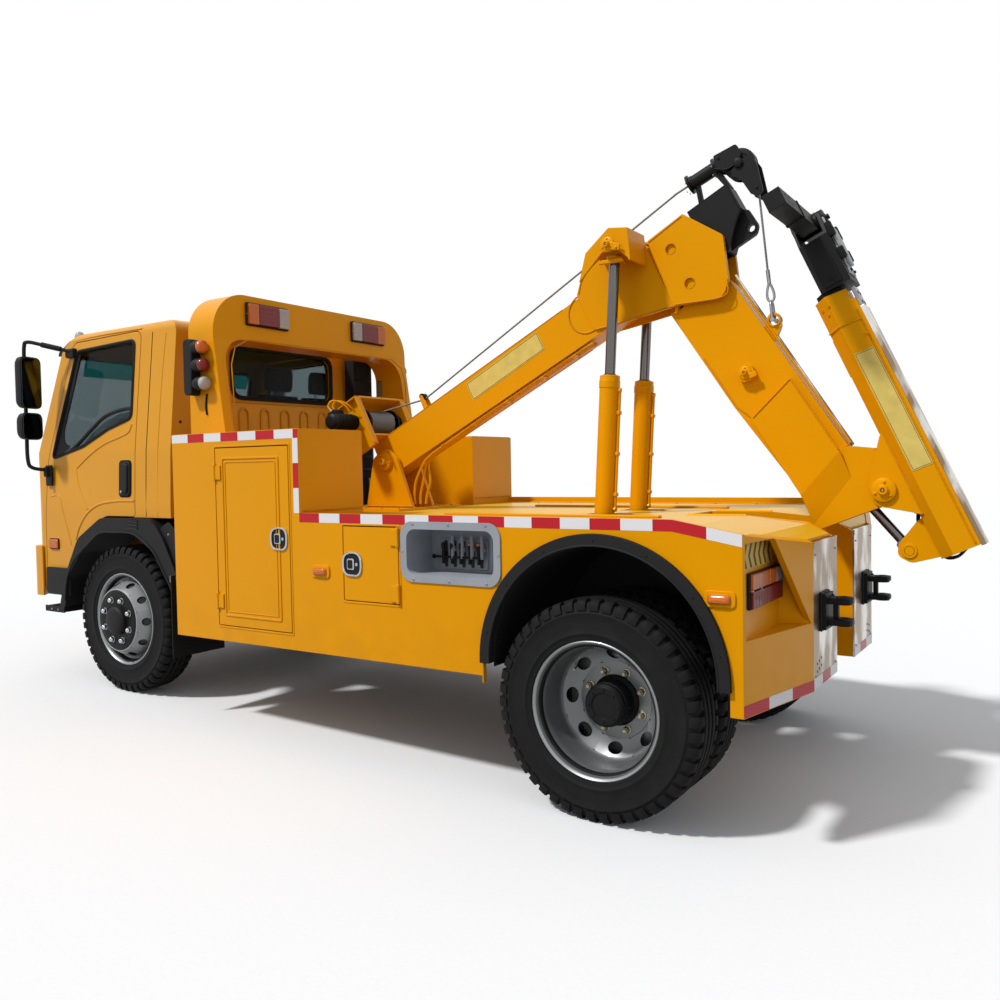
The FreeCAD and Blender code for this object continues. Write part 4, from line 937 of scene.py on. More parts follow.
def holed_ring(shape, centre, axis, low, high, height, holes, size, thick, look, inner_look):
    """A dished ring pierced by oval holes; height(r) is its place along the axis. The hole walls and the ring's back
    take the second finish, a dark one: painted shade.
    """
    a, b = basis(axis)
    centre, axis = Vector(centre), Vector(axis).normalized()
    span = 2 * math.pi / holes
    middle = (low + high) / 2
    count = 32

    def at(angle, r, back=0.0):
        return centre + (a * math.cos(angle) + b * math.sin(angle)) * r + axis * (height(r) - back)

    for i in range(holes):
        rings = []
        for share in (1, 0.5, 0):
            ring = []
            for j in range(count):
                t = 2 * math.pi * (j + 0.5) / count
                u, v = math.cos(t), math.sin(t)
                edge = max(abs(u), abs(v))
                outer = (u / edge * span / 2, v / edge * (high - low) / 2)
                hole = (u * size[1] / middle, v * size[0])
                mix = [outer[k] * share + hole[k] * (1 - share) for k in (0, 1)]
                ring.append((mix[0] + i * span, middle + mix[1]))
            rings.append(ring)
        shape.loops([[at(*p) for p in ring] for ring in rings], look, caps=False)
        # painted shade: the hole walls and the back of the ring are drawn in a dark finish
        wall = [[at(p[0], p[1], back) for p in rings[-1]] for back in (0, 3, thick)]
        shape.loops(wall, inner_look, caps=False)
        shape.loops([[at(p[0], p[1], thick) for p in ring] for ring in rings], inner_look, caps=False)


def front_rim(shape, centre, out, sizes):
    """A steel wheel whose disc bulges out past the tyre."""
    axis = (0, out, 0)
    look = "wheel_silver"
    shape.lathe([(304, 92), (312, 99), (311, 106), (304, 108), (297, 102), (291, 92), (287, 70), (281, 52),
                 (272, 46), (266, 44), (266, 36), (273, 34), (277, 20), (272, -92), (300, -96), (306, -90),
                 (283, -84), (284, 50), (290, 80), (296, 92)], centre, axis, look, 96, True)

    def height(r):
        return 46 + 110 * min(max((268 - r) / 55, 0), 1) ** 0.85

    # painted shade: the holes' walls and the dish's back are black rubber
    holed_ring(shape, centre, axis, 213, 268, height, 10, (14, 26), 9, look, "seal_rubber")
    shape.lathe([(214, 154), (209, 158), (203, 159), (203, 148), (213, 146)], centre, axis, look, 72, True)
    shape.lathe([(204, 157), (199, 160), (165, 161), (110, 160), (96, 158)], centre, axis, "black_steel", 72,
                False)
    shape.lathe([(97, 157), (96, 176), (89, 187), (70, 194), (40, 198), (2, 199)], centre, axis,
                "black_plastic", 64)
    nut_ring(shape, centre, axis, 143, sizes.wheel_nuts, 160, "bright_chrome", True)
    shape.lathe([(262, 30), (250, 34), (210, 130), (120, 140), (92, 130), (92, 20), (110, -40), (170, -75),
                 (215, -88), (218, -40), (262, -26)], centre, axis, "cast_iron", 64, True)


def nut_ring(shape, centre, axis, radius, count, along, look, capped=False):
    a, b = basis(axis)
    axis = Vector(axis)
    for i in range(count):
        t = 2 * math.pi * (i + 0.5) / count
        place = Vector(centre) + (a * math.cos(t) + b * math.sin(t)) * radius + axis * along
        shape.lathe([(21, 0), (21, 3), (19, 4)], place, axis, look, 24)
        if capped:
            shape.lathe([(18, 3), (18, 14), (16, 21), (10, 27), (2, 29)], place, axis, look, 20)
            continue
        shape.lathe([(17, 3), (17, 17), (14, 21)], place, axis, look, 6)
        shape.lathe([(10, 18), (10, 31), (8, 33), (2, 33)], place, axis, look, 14)


def rear_rims(shape, centre, inner_centre, out, sizes):
    axis = (0, out, 0)
    # painted shade: the rear rims' barrels and dishes take the darkened wheel silver, and only the outer lip stays
    # bright
    grey = "wheel_grey"
    shape.lathe([(300, 90), (311, 96), (312, 104), (306, 108), (299, 104), (294, 94)], centre, axis,
                "wheel_silver", 96, True)
    shape.lathe([(297, 100), (290, 88), (286, 66), (276, 52), (272, 20), (270, -60), (264, -76), (256, -84),
                 (256, -92), (272, -92), (278, -90), (282, 40), (296, 90)], centre, axis, grey, 96, True)

    def height(r):
        t = min(max((r - 176) / 84, 0), 1)
        return -122 + 40 * t ** 1.7

    # painted shade: the holes' walls and the dish's back are black rubber
    holed_ring(shape, centre, axis, 176, 260, height, 8, (26, 37), 10, grey, "seal_rubber")
    shape.lathe([(178, height(178)), (165, -121), (112, -121), (112, -134), (178, -134)], centre, axis, grey,
                72, True)
    shape.lathe([(118, -122), (116, -112), (108, -106), (100, -100), (98, -40), (101, -36), (101, -26),
                 (97, -22), (97, -4), (90, 4), (84, 10), (60, 10), (56, 4), (30, 4), (2, 4)], centre, axis,
                "black_steel", 64)
    for i in range(28):
        t = 2 * math.pi * i / 28
        a, b = basis(axis)
        start = Vector(centre) + (a * math.cos(t) + b * math.sin(t)) * 97
        shape.tube([start + Vector(axis) * -98, start + Vector(axis) * -44], 3.4, "black_steel", 6)
    shape.bolts(Vector(centre) + Vector(axis) * 8, axis, 72, 8, 9, "black_steel")
    nut_ring(shape, centre, axis, 140, sizes.wheel_nuts, -121, "zinc_bolt")
    a, b = basis(axis)
    valve = Vector(centre) + (a * 0.8 - b * 0.6) * 235 + Vector(axis) * -98
    shape.tube([valve, valve + Vector(axis) * 46 - (a * 0.8 - b * 0.6) * 12], 4.5, "zinc_bolt", 10)
    shape.lathe([(300, -90), (311, -96), (300, -98), (272, -92), (262, -60), (262, 40), (280, 90), (306, 98),
                 (296, 88), (274, 30), (274, -60), (284, -84)], inner_centre, axis, grey, 72, True)
    shape.lathe([(262, 96), (246, 110), (180, 124), (112, 124), (112, 138), (180, 138), (250, 122),
                 (263, 104)], inner_centre, axis, grey, 72, True)
    shape.lathe([(175, 110), (205, 40), (205, -80), (195, -92), (70, -92), (70, -70), (120, 100)],
                inner_centre, axis, "cast_iron", 64, True)


class TRUCK_OT_tyres(bpy.types.Operator):
    """Front tyres and the twin rear tyres"""
    bl_idname = "truck.tyres"
    bl_label = "Tyres"

    def execute(self, context):
        sizes = context.scene.truck_sizes
        for word, side in SIDES:
            front = Shape()
            tyre(front, (FRONT_AXLE[0], side * 868, FRONT_AXLE[1]), side, sizes)
            made = front.piece("tyre_front_" + word, "front_wheel_" + word, "tyre")
            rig.replaces(made, "front_tyre_" + word)
            rear = Shape()
            tyre(rear, (REAR_AXLE[0], side * 1058, REAR_AXLE[1]), side, sizes)
            tyre(rear, (REAR_AXLE[0], side * 778, REAR_AXLE[1]), -side, sizes)
            made = rear.piece("tyres_rear_" + word, "rear_wheels_" + word, "tyre")
            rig.replaces(made, "rear_tyres_" + word)
        return {"FINISHED"}


class TRUCK_OT_rims(bpy.types.Operator):
    """Steel wheels with nuts, hubs and brake drums"""
    bl_idname = "truck.rims"
    bl_label = "Wheels"

    def execute(self, context):
        sizes = context.scene.truck_sizes
        for word, side in SIDES:
            front = Shape()
            front_rim(front, (FRONT_AXLE[0], side * 868, FRONT_AXLE[1]), side, sizes)
            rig.replaces(front.piece("wheel_front_" + word, "front_wheel_" + word, "rim_steel"),
                        "front_rim_" + word)
            rear = Shape()
            rear_rims(rear, (REAR_AXLE[0], side * 1058, REAR_AXLE[1]),
                      (REAR_AXLE[0], side * 778, REAR_AXLE[1]), side, sizes)
            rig.replaces(rear.piece("wheels_rear_" + word, "rear_wheels_" + word, "rim_steel"),
                        "rear_rims_" + word)
        return {"FINISHED"}


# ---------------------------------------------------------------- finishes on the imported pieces

class TRUCK_OT_finishes(bpy.types.Operator):
    """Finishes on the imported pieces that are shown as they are"""
    bl_idname = "truck.finishes"
    bl_label = "Finishes"

    def execute(self, context):
        dress("body_side_left body_side_right tall_door_left tall_door_right small_door_left "
              "small_door_right gantry boom_outer boom_base rear_arm lift_barrels underlift_arm",
              "body_paint")
        dress("deck", "deck_plate_painted_sunlit")
        dress("cab_shell cab_door_left cab_door_right front_bumper", "cab_paint")
        dress("frame_rails front_axle rear_axle knuckle_left knuckle_right", "chassis_steel")
        dress("engine_block", "cast_iron")
        dress("fuel_tank air_tank tow_brackets boom_inner underlift_slide cross_bar winch_drum "
              "winch_motor rope_sheave tilt_barrel", "black_steel")
        dress("cab_glass door_glass_left door_glass_right", "window_glass")
        dress("cab_seats", "seat_fabric")
        dress("dashboard", "dash_plastic")
        dress("front_arches cab_steps air_intake mirror_left mirror_right lamps rear_arch_flares",
              "black_plastic")
        dress("mud_flaps", "flap_rubber")
        dress("control_panels", "grey_plastic")
        dress("rear_plates", "stainless")
        dress("lift_rods tilt_rod", "chrome_rod")
        return {"FINISHED"}


# ---------------------------------------------------------------- body sides

def ribbon(shape, start, end, up, out, lengths, first, thick=0.8):
    """Tape from start to end along its lower edge, in alternating colours; first is 0 for red."""
    start, end, up, out = Vector(start), Vector(end), Vector(up), Vector(out)
    along = (end - start).normalized()
    total, here, turn = (end - start).length, 0.0, first
    for length in lengths:
        stop = min(here + length, total)
        if stop - here < 1:
            break
        a, b = start + along * here, start + along * stop
        rows = [[p + up * h + out * d for h, d in ((0, 0), (0, thick), (1, thick), (1, 0))] for p in (a, b)]
        shape.loops(rows, "red_tape" if turn == 0 else "white_tape")
        here, turn = stop, 1 - turn
    return turn


def ring_frame(shape, axis, outer, inner, base, top, look, bevel=1.2):
    """A raised frame between two outlines with the same number of corners."""
    put = PLANES[axis]
    outer, inner = rounded(outer), rounded(inner)
    step = bevel if top > base else -bevel
    rings = [(outer, base), (outer, top - step), (shrunk(outer, bevel), top), (shrunk(inner, -bevel), top),
             (inner, top - step), (inner, base)]
    shape.loops([[put(d, *p) for p in ring] for ring, d in rings], look, closed=True)


class TRUCK_OT_tape(bpy.types.Operator):
    """Red and white reflective tape on the edges"""
    bl_idname = "truck.tape"
    bl_label = "Reflective tape"

    def execute(self, context):
        sizes = context.scene.truck_sizes
        high, run = mm(sizes.tape_height), mm(sizes.tape_length)
        for word, side in SIDES:
            rear = CABINET_REAR[word]
            s = Shape(flip=side > 0)
            y = -SIDE_Y
            out = (0, -1, 0)
            ribbon(s, (rear, y, RIM_TOP - high), (KINK_X, y, RIM_TOP - high), (0, 0, high), out, [run] * 18,
                   0)
            ribbon(s, (KINK_X, y, RIM_TOP - high), (SIDE_END[0] - 2, y, SIDE_END[1] - high), (0, 0, high),
                   out, [149, 160], 0)
            turn = ribbon(s, (CABINET_FRONT, y, CABINET_TOP - high), (rear, y, CABINET_TOP - high),
                          (0, 0, high), out, [run] * 9, 1)
            third = (CABINET_TOP - high - RIM_TOP) / 3
            ribbon(s, (rear - 40, y, CABINET_TOP - high), (rear - 40, y, RIM_TOP), (40, 0, 0), out,
                   [third] * 3, turn)
            corner, plate = Vector((SIDE_END[0], y, 563)), Vector((PLATE_X, -PLATE_Y, 563))
            normal = Vector((574, -124, 0)).normalized()
            turn = ribbon(s, corner + normal * 0.3, plate + normal * 0.3, (0, 0, high), normal, [196] * 3, 0)
            ribbon(s, plate + Vector((0.3, 2, 2)), (PLATE_X + 0.3, -SLOT_Y, 565), (0, 0, high), (1, 0, 0),
                   [run] * 4, 1)
            s.piece("tape_" + word, "truck", "body_paint")
        return {"FINISHED"}


def latch(shape, x, z):
    """A paddle latch in a chromed oval dish."""
    y = -SIDE_Y - 2
    ring_frame(shape, "y", block(x - 66, x + 66, z - 64, z + 64, 52),
               block(x - 55, x + 55, z - 53, z + 53, 44), y, y - 11, "bright_chrome", 4)
    shape.prism("y", block(x - 57, x + 57, z - 55, z + 55, 44), y, y - 3, "black_plastic")
    shape.prism("y", block(x - 34, x + 14, z - 30, z + 30, 12), y - 3, y - 9, "bright_chrome", 3)
    shape.prism("y", block(x - 27, x + 7, z - 23, z + 23, 9), y - 9, y - 10.5, "black_plastic", 0.6)
    shape.disc((x + 30, y - 3, z), (0, -1, 0), 9, 5, "bright_chrome")
    # painted shade: a dark bar on the lock stands in for its key slot
    shape.slab(x + 22, x + 34, y - 9, y - 8, z - 1, z + 1, "black_plastic", 0.2)


class TRUCK_OT_lockers(bpy.types.Operator):
    """Mouldings, latches, hinge pins and seals of the locker doors"""
    bl_idname = "truck.lockers"
    bl_label = "Locker doors"

    def execute(self, context):
        for word, side in SIDES:
            rear = {"left": 1836, "right": 1670}[word]
            y = -SIDE_Y - 2
            s = Shape(flip=side > 0)
            for gap, width, high in ((58, 12, 5.0), (82, 7, 3.5)):
                ring_frame(s, "y", block(1237 + gap, rear - gap - 18, 684 + gap, 1712 - gap, 12),
                           block(1237 + gap + width, rear - gap - 18 - width, 684 + gap + width,
                                 1712 - gap - width, 8), y, y - high, "body_paint", 2.2)
            latch(s, rear - 84, 1200)
            self.pins(s, 1239, 684, 1712)
            s.piece("tall_door_trim_" + word, "tall_door_" + word, "body_paint")
            s = Shape(flip=side > 0)
            latch(s, 2286, 1084)
            self.pins(s, 2593, 892, 1283)
            s.piece("small_door_trim_" + word, "small_door_" + word, "body_paint")
            s = Shape(flip=side > 0)
            for front, back, low, high in ((1237, rear, 684, 1712), (2222, 2595, 892, 1283)):
                ring_frame(s, "y", block(front - 11, back + 11, low - 11, high + 11, 10),
                           block(front - 1, back + 1, low - 1, high + 1, 8), -SIDE_Y - 0.2, -SIDE_Y - 2.6,
                           "body_paint", 1)
                ring_frame(s, "y", block(front + 1.0, back - 1.0, low + 1.0, high - 1.0, 6),
                           block(front + 4.2, back - 4.2, low + 4.2, high - 4.2, 5), -SIDE_Y + 24,
                           -SIDE_Y + 8, "seal_rubber", 1)
            s.piece("locker_frames_" + word, "truck", "body_paint")
        return {"FINISHED"}

    @staticmethod
    def pins(shape, x, low, high):
        for share in (0.14, 0.86):
            z = low + share * (high - low)
            shape.lathe([(9.5, -47), (9.5, -30), (8.6, -29), (8.6, 29), (9.5, 30), (9.5, 47), (5, 51)],
                        (x, -SIDE_Y - 9, z), (0, 0, 1), "body_paint", 20)
            shape.disc((x, -SIDE_Y - 9, z + 50), (0, 0, 1), 5, 5, "bright_steel", 16)


class TRUCK_OT_controls(bpy.types.Operator):
    """Lever slots, levers, cross rods and screws in the control recesses"""
    bl_idname = "truck.controls"
    bl_label = "Controls"

    def execute(self, context):
        for word, side in SIDES:
            s = Shape(flip=side > 0)
            back = -SIDE_Y + 200
            s.prism("y", block(2702, 2998, 1062, 1218, 18), back - 0.4, back - 6, "grey_plastic", 2)
            for i in range(5):
                x = 2744 + 54 * i
                # painted shade: each lever slot is a dark patch on the back wall, not an opening
                s.prism("y", block(x - 10, x + 10, 1072, 1208, 10), back - 6, back - 7.4, "dash_plastic", 0.5)
                s.lathe([(8, -48), (8, 22), (10, 32), (11, 46), (9, 55), (4, 59)], (x, back - 32, 1140),
                        (0, 0, 1), "black_plastic", 20)
                s.lathe([(12, -26), (12, 4), (10, 8)], (x, back - 14, 1140), (0, -1, 0), "black_plastic", 20)
                if i > 2:
                    s.lathe([(11.4, 0), (12, 8), (9.5, 13), (4, 16)], (x, back - 32, 1186), (0, 0, 1),
                            "amber_lens", 20)
            s.tube([(2690, back - 34, 1126), (2980, back - 34, 1126)], 6, "black_plastic")
            s.dome((2690, back - 34, 1126), (-1, 0, 0), 12, 14, "black_plastic", 20)
            for x in (2690, 2906, 3122):
                for z in (1027, 1299):
                    s.disc((x, -SIDE_Y - 8, z), (0, -1, 0), 7, 3, "bright_steel", 20)
                    # painted shade: a dark bar on each screw head stands in for its slot
                    s.slab(x - 5, x + 5, -SIDE_Y - 11.6, -SIDE_Y - 11, z - 1, z + 1, "dash_plastic", 0.2)
            for z in (1165,):
                for x in (2622, 3190):
                    s.disc((x, -SIDE_Y - 8, z), (0, -1, 0), 7, 3, "bright_steel", 20)
            s.piece("levers_" + word, "truck", "grey_plastic")
        return {"FINISHED"}


class TRUCK_OT_arches(bpy.types.Operator):
    """Beads and fixings of the rear arches, and the mud flaps' clamps"""
    bl_idname = "truck.arches"
    bl_label = "Wheel arches"

    def execute(self, context):
        for word, side in SIDES:
            s = Shape(flip=side > 0)
            for radius, y, thick in ((549.5, -SIDE_Y - 20, 5.5), (596, -SIDE_Y - 6, 5.0)):
                path = [(ARCH_X - radius, y, ARCH_Z - 15)]
                path += [(ARCH_X - radius * math.cos(t), y, ARCH_Z + radius * math.sin(t))
                         for t in (math.pi * i / 60 for i in range(61))]
                path += [(ARCH_X + radius, y, ARCH_Z - 15)]
                s.tube(path, thick, "black_plastic", 8)
            arc = [(math.cos(math.pi * i / 48), math.sin(math.pi * i / 48)) for i in range(49)]
            over = [(ARCH_X - 548 * c, ARCH_Z + 548 * d) for c, d in arc]
            over = [(ARCH_X - 548, ARCH_FOOT)] + over + [(ARCH_X + 548, ARCH_FOOT)]
            under = [(ARCH_X + 544 * c, ARCH_Z + 544 * d) for c, d in arc]
            under = [(ARCH_X + 544, ARCH_FOOT)] + under + [(ARCH_X - 544, ARCH_FOOT)]
            s.prism("y", over + under, -SIDE_Y + 22, -482, "black_plastic", 0)
            s.prism("y", [p for p in over if p[1] > 820], -486, -480, "black_plastic", 0)
            for i in range(7):
                t = math.pi * (i + 0.5) / 7
                s.bolt((ARCH_X - 571 * math.cos(t), -SIDE_Y - 21.5, ARCH_Z + 571 * math.sin(t)), (0, -1, 0),
                       6, "black_plastic")
            s.slab(736, 742, -1150, -760, 900, 940, "bright_steel", 1)
            for y in (-1110, -955, -800):
                s.bolt((750, y, 920), (1, 0, 0), 9)
            for k in range(5):
                s.slab(750, 752.5, -1140, -770, 470 + k * 20, 478 + k * 20, "flap_rubber", 0.8)
            s.piece("arch_trim_" + word, "truck", "black_plastic")
        return {"FINISHED"}


def lens_box(shape, axis, a0, a1, b0, b1, base, top, look, radius=6):
    shape.prism(axis, block(a0, a1, b0, b1, radius), base, top, look, 2.5)


class TRUCK_OT_lamps(bpy.types.Operator):
    """Tail lamps, high lamps, round lamps and side markers"""
    bl_idname = "truck.lamps"
    bl_label = "Lamps"

    def execute(self, context):
        made = Shape()
        for side in (-1, 1):
            s = Shape(flip=side > 0)
            x = POCKET_X
            s.prism("x", block(-1133, -716, 982, 1130, 8), x + 0.3, x + 15, "black_plastic", 3)
            for y0, y1, z0, z1, look in ((-1127, -904, 1062, 1125, "amber_lens"),
                                         (-900, -812, 1062, 1125, "amber_lens"),
                                         (-809, -722, 1062, 1125, "clear_lens"),
                                         (-1127, -904, 987, 1057, "red_lens"),
                                         (-900, -722, 987, 1057, "red_lens")):
                lens_box(s, "x", y0, y1, z0, z1, x + 14, x + 27, look)
                for k in range(1, 6):
                    y = y0 + (y1 - y0) * k / 6
                    s.slab(x + 26.6, x + 27.8, y - 1.5, y + 1.5, z0 + 6, z1 - 6, look, 0.5)
            for y in (-1131, -1020, -719):
                s.disc((x + 15, y + (6 if y < -1000 else -6), 1059.5), (1, 0, 0), 4, 12, "bright_steel", 16)
            s.prism("x", block(-1184, -793, 1146, 1250, 4), x + 0.4, x + 2.6, "chevron_yellow", 0.6)
            for k in range(6):
                y = -1180 + k * 63
                arrow = [(y + 28, 1150), (y + 50, 1150), (y + 22, 1198), (y + 50, 1246), (y + 28, 1246),
                         (y, 1198)]
                s.prism("x", arrow, x + 2.4, x + 3.4, "chevron_dark", 0.2)
            for cx, cz in ((2058, 1036), (4236, 1030)):
                y = -SIDE_Y
                s.prism("y", block(cx - 66, cx + 66, cz - 34, cz + 34, 22), y - 0.3, y - 8, "body_paint", 2)
                rows = []
                for depth, grow in ((8, 0), (17, -3), (23, -9), (26, -16)):
                    rows.append([(a, y - depth, b) for a, b in
                                 rounded(block(cx - 48 - grow, cx + 48 + grow, cz - 20 - grow * 0.6,
                                               cz + 20 + grow * 0.6, 12))])
                s.loops(rows, "amber_lens")
                s.slab(cx - 14, cx + 14, y - 27, y - 20, cz - 5, cz + 5, "amber_lens", 2)
            s.prism("x", block(-672, -308, 2508, 2657, 14), 931.5, 946, "black_plastic", 3)
            bands = ((-662, -580, "amber_lens"), (-576, -408, "red_lens"), (-404, -318, "clear_lens"))
            for y0, y1, look in bands:
                lens_box(s, "x", y0, y1, 2518, 2647, 944, 966, look)
                for k in range(1, 5):
                    s.slab(965.6, 967, y0 + 8, y1 - 8, 2518 + 26 * k, 2520.5 + 26 * k, look, 0.5)
            for y, z in ((-667, 2582), (-313, 2582)):
                s.disc((946, y, z), (1, 0, 0), 3.5, 3, "bright_steel", 14)
            s.prism("y", [(728, 2052, 30), (800, 2052, 20), (812, 2400, 30), (728, 2400, 30)], -928, -1000,
                    "black_plastic", 5)
            for cx, cz, look in ((889, 2347, "amber_lens"), (897, 2236, "red_lens"),
                                 (905, 2122, "clear_lens")):
                s.lathe([(30, -105), (39, -88), (42, -70), (42, -30), (38, -24)], (cx, -966, cz), (1, 0, 0),
                        "black_plastic", 32)
                s.lathe([(41, -34), (42, -26), (40, -8), (36, -2), (26, 3), (10, 5), (1, 5)], (cx, -966, cz),
                        (1, 0, 0), look, 40)
                for r in (12, 22, 31):
                    s.lathe([(r - 1.5, 3 - r * 0.06), (r, 5.6 - r * 0.08), (r + 1.5, 3 - r * 0.06)],
                            (cx, -966, cz), (1, 0, 0), look, 32, True)
            for source in (s,):
                base = len(made.points)
                made.points += source.points
                order = []
                for look in source.names:
                    if look not in made.names:
                        made.names.append(look)
                    order.append(made.names.index(look))
                made.faces += [[base + i for i in face] for face in source.faces]
                made.marks += [order[m] for m in source.marks]
        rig.replaces(made.piece("lamps_set", "truck", "lamp_plastic"), "lamps")
        return {"FINISHED"}


class TRUCK_OT_tail(bpy.types.Operator):
    """Folded stainless corners, seams and towing eyes at the rear"""
    bl_idname = "truck.tail"
    bl_label = "Rear end"

    def execute(self, context):
        s = Shape()
        for side in (-1, 1):
            y0, y1 = sorted((side * (PLATE_Y - 1), side * (SLOT_Y - 1)))
            s.prism("y", [(PLATE_X - 9, 1219), (PLATE_X + 1.5, 1217), (PLATE_X + 1.5, 1190), (PLATE_X, 1190),
                          (PLATE_X - 2, 1214), (PLATE_X - 9, 1215)], y0, y1, "stainless", 0)
            for y in (side * (PLATE_Y - 30), side * (SLOT_Y + 30)):
                for z in (620, 1160):
                    s.bolt((PLATE_X, y, z), (1, 0, 0), 6, "bright_steel")
            for k in range(2):
                for m in range(3):
                    s.disc((PLATE_X + 0.2, side * (PLATE_Y - 60 - 34 * m), 672 - 34 * k + 8 * m), (1, 0, 0),
                           6, 0.6, "dash_plastic", 16, 0.1)
        s.piece("rear_folds", "truck", "stainless")
        s = Shape()
        for side in (-1, 1):
            y = side * 440
            for dy in (-55, 55):
                for z in (835, 957):
                    s.bolt((PLATE_X + 26, y + dy, z), (1, 0, 0), 10, "black_steel")
            for low in (834, 930):
                for dz in (-3, 28):
                    s.lathe([(19.5, 0), (19.5, 3), (34, 3), (36, 0)], (PLATE_X + 88, y, low + dz), (0, 0, 1),
                            "black_steel", 28, True)
                s.prism("z", [(PLATE_X + 118, y - 40), (PLATE_X + 128, y - 26), (PLATE_X + 128, y + 26),
                              (PLATE_X + 118, y + 40)], low + 2, low + 26, "black_steel", 3)
            s.prism("x", block(y - 78, y + 78, 808, 984, 10), PLATE_X + 0.5, PLATE_X + 10, "black_steel", 3)
            s.slab(PLATE_X + 44, PLATE_X + 67, y - 16, y + 16, 834, 958, "black_steel", 4)
        s.piece("tow_clevis_detail", "truck", "black_steel")
        s = Shape()
        for side in (-1, 1):
            y = side * (SLOT_Y + 10)
            s.tube([(3720, side * (SLOT_Y + 24), 1306), (4030, side * (SLOT_Y + 24), 1306)], 7, "body_paint")
            s.slab(2380, 3690, side * 500 - 22, side * 500 + 22, 1304, 1318, "body_paint", 3)
            s.slab(1960, 4030, side * 1120 - 12, side * 1120 + 12, 1304, 1311, "body_paint", 2)
            for k in range(8):
                s.bolt((2060 + 270 * k, side * 1060, 1305), (0, 0, 1), 8, "bright_steel")
        s.piece("deck_detail", "truck", "body_paint")
        return {"FINISHED"}


# ---------------------------------------------------------------- cab

def cab_point(x, y_out, z):
    """A point y_out outside the cab's left wall."""
    return (x, -cab_skin(z) - y_out, z)


def skin_line(shape, points, radius, look, out=0.0, sides=8, steps=6):
    path = curved([(x, 0, z) for x, z in points], steps)
    shape.tube([cab_point(p.x, out, p.z) for p in path], radius, look, sides)


def skin_patch(shape, outline, thick, look, out=0.0, bevel=1.5):
    """A flat patch lying on the cab's side wall."""
    wrapped = Shape(wrap=lambda p: Vector((p.x, p.y - cab_skin(p.z), p.z)))
    wrapped.space, wrapped.flip = Matrix(), False
    wrapped.prism("y", outline, -out, -out - thick, look, bevel)
    shape.add(wrapped.points, wrapped.faces, look)


WINDOW = [(-765, 1692, 25), (-720, 1850, 200), (-540, 2440, 60), (122, 2462, 45), (132, 1945, 50),
          (-120, 1880, 150), (-400, 1770, 150)]


class TRUCK_OT_cab_doors(bpy.types.Operator):
    """Window seals, creases, handles and lamps of the cab doors"""
    bl_idname = "truck.cab_doors"
    bl_label = "Cab doors"

    def execute(self, context):
        for word, side in SIDES:
            s = Shape(flip=side > 0)
            outline = rounded(WINDOW)
            s.tube([cab_point(x, -2, z) for x, z in outline], 11, "seal_rubber", 8, closed=True)
            s.tube([cab_point(x, 3, z) for x, z in shrunk(outline, -9)], 4, "black_plastic", 8, closed=True)
            skin_patch(s, [(-768, 1690, 10), (-722, 1850, 60), (-545, 2436, 30), (-500, 2440, 10),
                           (-560, 2200, 60), (-650, 1900, 60), (-640, 1800, 60), (-560, 1770, 10),
                           (-590, 1752, 10)], 5, "black_plastic", -9)
            skin_line(s, [(-560, 1745), (-470, 1790), (-330, 1880), (-180, 1965), (0, 2003), (126, 2008)], 13,
                      "black_plastic", -10)
            skin_patch(s, [(-470, 1742, 20), (-330, 1800, 40), (-80, 1895, 40), (128, 1955, 20),
                           (128, 1990, 10), (-20, 1975, 60), (-190, 1925, 60), (-330, 1850, 40)], 3,
                       "window_glass", -14)
            skin_line(s, [(-470, 1620), (-330, 1700), (-160, 1775), (20, 1820), (110, 1850), (140, 1900)], 9,
                      "cab_paint", -3)
            skin_line(s, [(-500, 1120), (-440, 1220), (-340, 1310), (-200, 1368), (0, 1390), (180, 1392)], 10,
                      "cab_paint", -4)
            skin_line(s, [(-480, 1610), (-440, 1480), (-340, 1330)], 8, "cab_paint", -4)
            skin_line(s, [(-800, 1420), (-690, 1420), (-640, 1300), (-560, 1080)], 8, "cab_paint", -4)
            skin_patch(s, block(19, 156, 1415, 1663, 34), 6, "seal_rubber", -3)
            skin_patch(s, block(30, 146, 1425, 1653, 30), 10, "black_plastic", 1, 4)
            skin_patch(s, block(54, 130, 1440, 1640, 30), 14, "black_plastic", 8, 6)
            s.disc(cab_point(72, 22, 1452), (0, -1, 0), 9, 4, "bright_steel")
            skin_patch(s, block(-830, -706, 1040, 1118, 14), 6, "seal_rubber", -2)
            skin_patch(s, block(-824, -712, 1046, 1112, 12), 14, "amber_lens", 3, 5)
            for k in range(4):
                skin_patch(s, block(-812, -724, 1054 + 14 * k, 1058 + 14 * k, 1), 3, "amber_lens", 15.5, 0.6)
            skin_line(s, [(-600, 2518), (-300, 2532), (189, 2534)], 4, "cab_paint", -2, 6)
            s.piece("cab_door_trim_" + word, "cab_door_" + word, "cab_paint")
            s = Shape(flip=side > 0)
            s.prism("y", [(-740, 860, 30), (-700, 1560, 60), (-600, 1600, 60), (150, 1700, 60),
                          (160, 1330, 30), (-100, 1330, 60), (-400, 1180, 80), (-560, 900, 30)], -954, -936,
                    "dash_plastic", 6)
            s.prism("y", block(-300, 120, 1520, 1580, 20), -936, -900, "seat_side", 8)
            s.prism("y", block(-80, 40, 1600, 1640, 12), -938, -920, "bright_steel", 4)
            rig.slot(s.piece("cab_door_lining_" + word, "cab_door_" + word, "dash_plastic"), "dash_plastic")
        return {"FINISHED"}


def mirror_turn(point):
    """Turns a mirror's housing towards the driver, about its upright."""
    about = Vector((-780, -1140, 0))
    return about + Matrix.Rotation(math.radians(15), 3, "Z") @ (point - about)


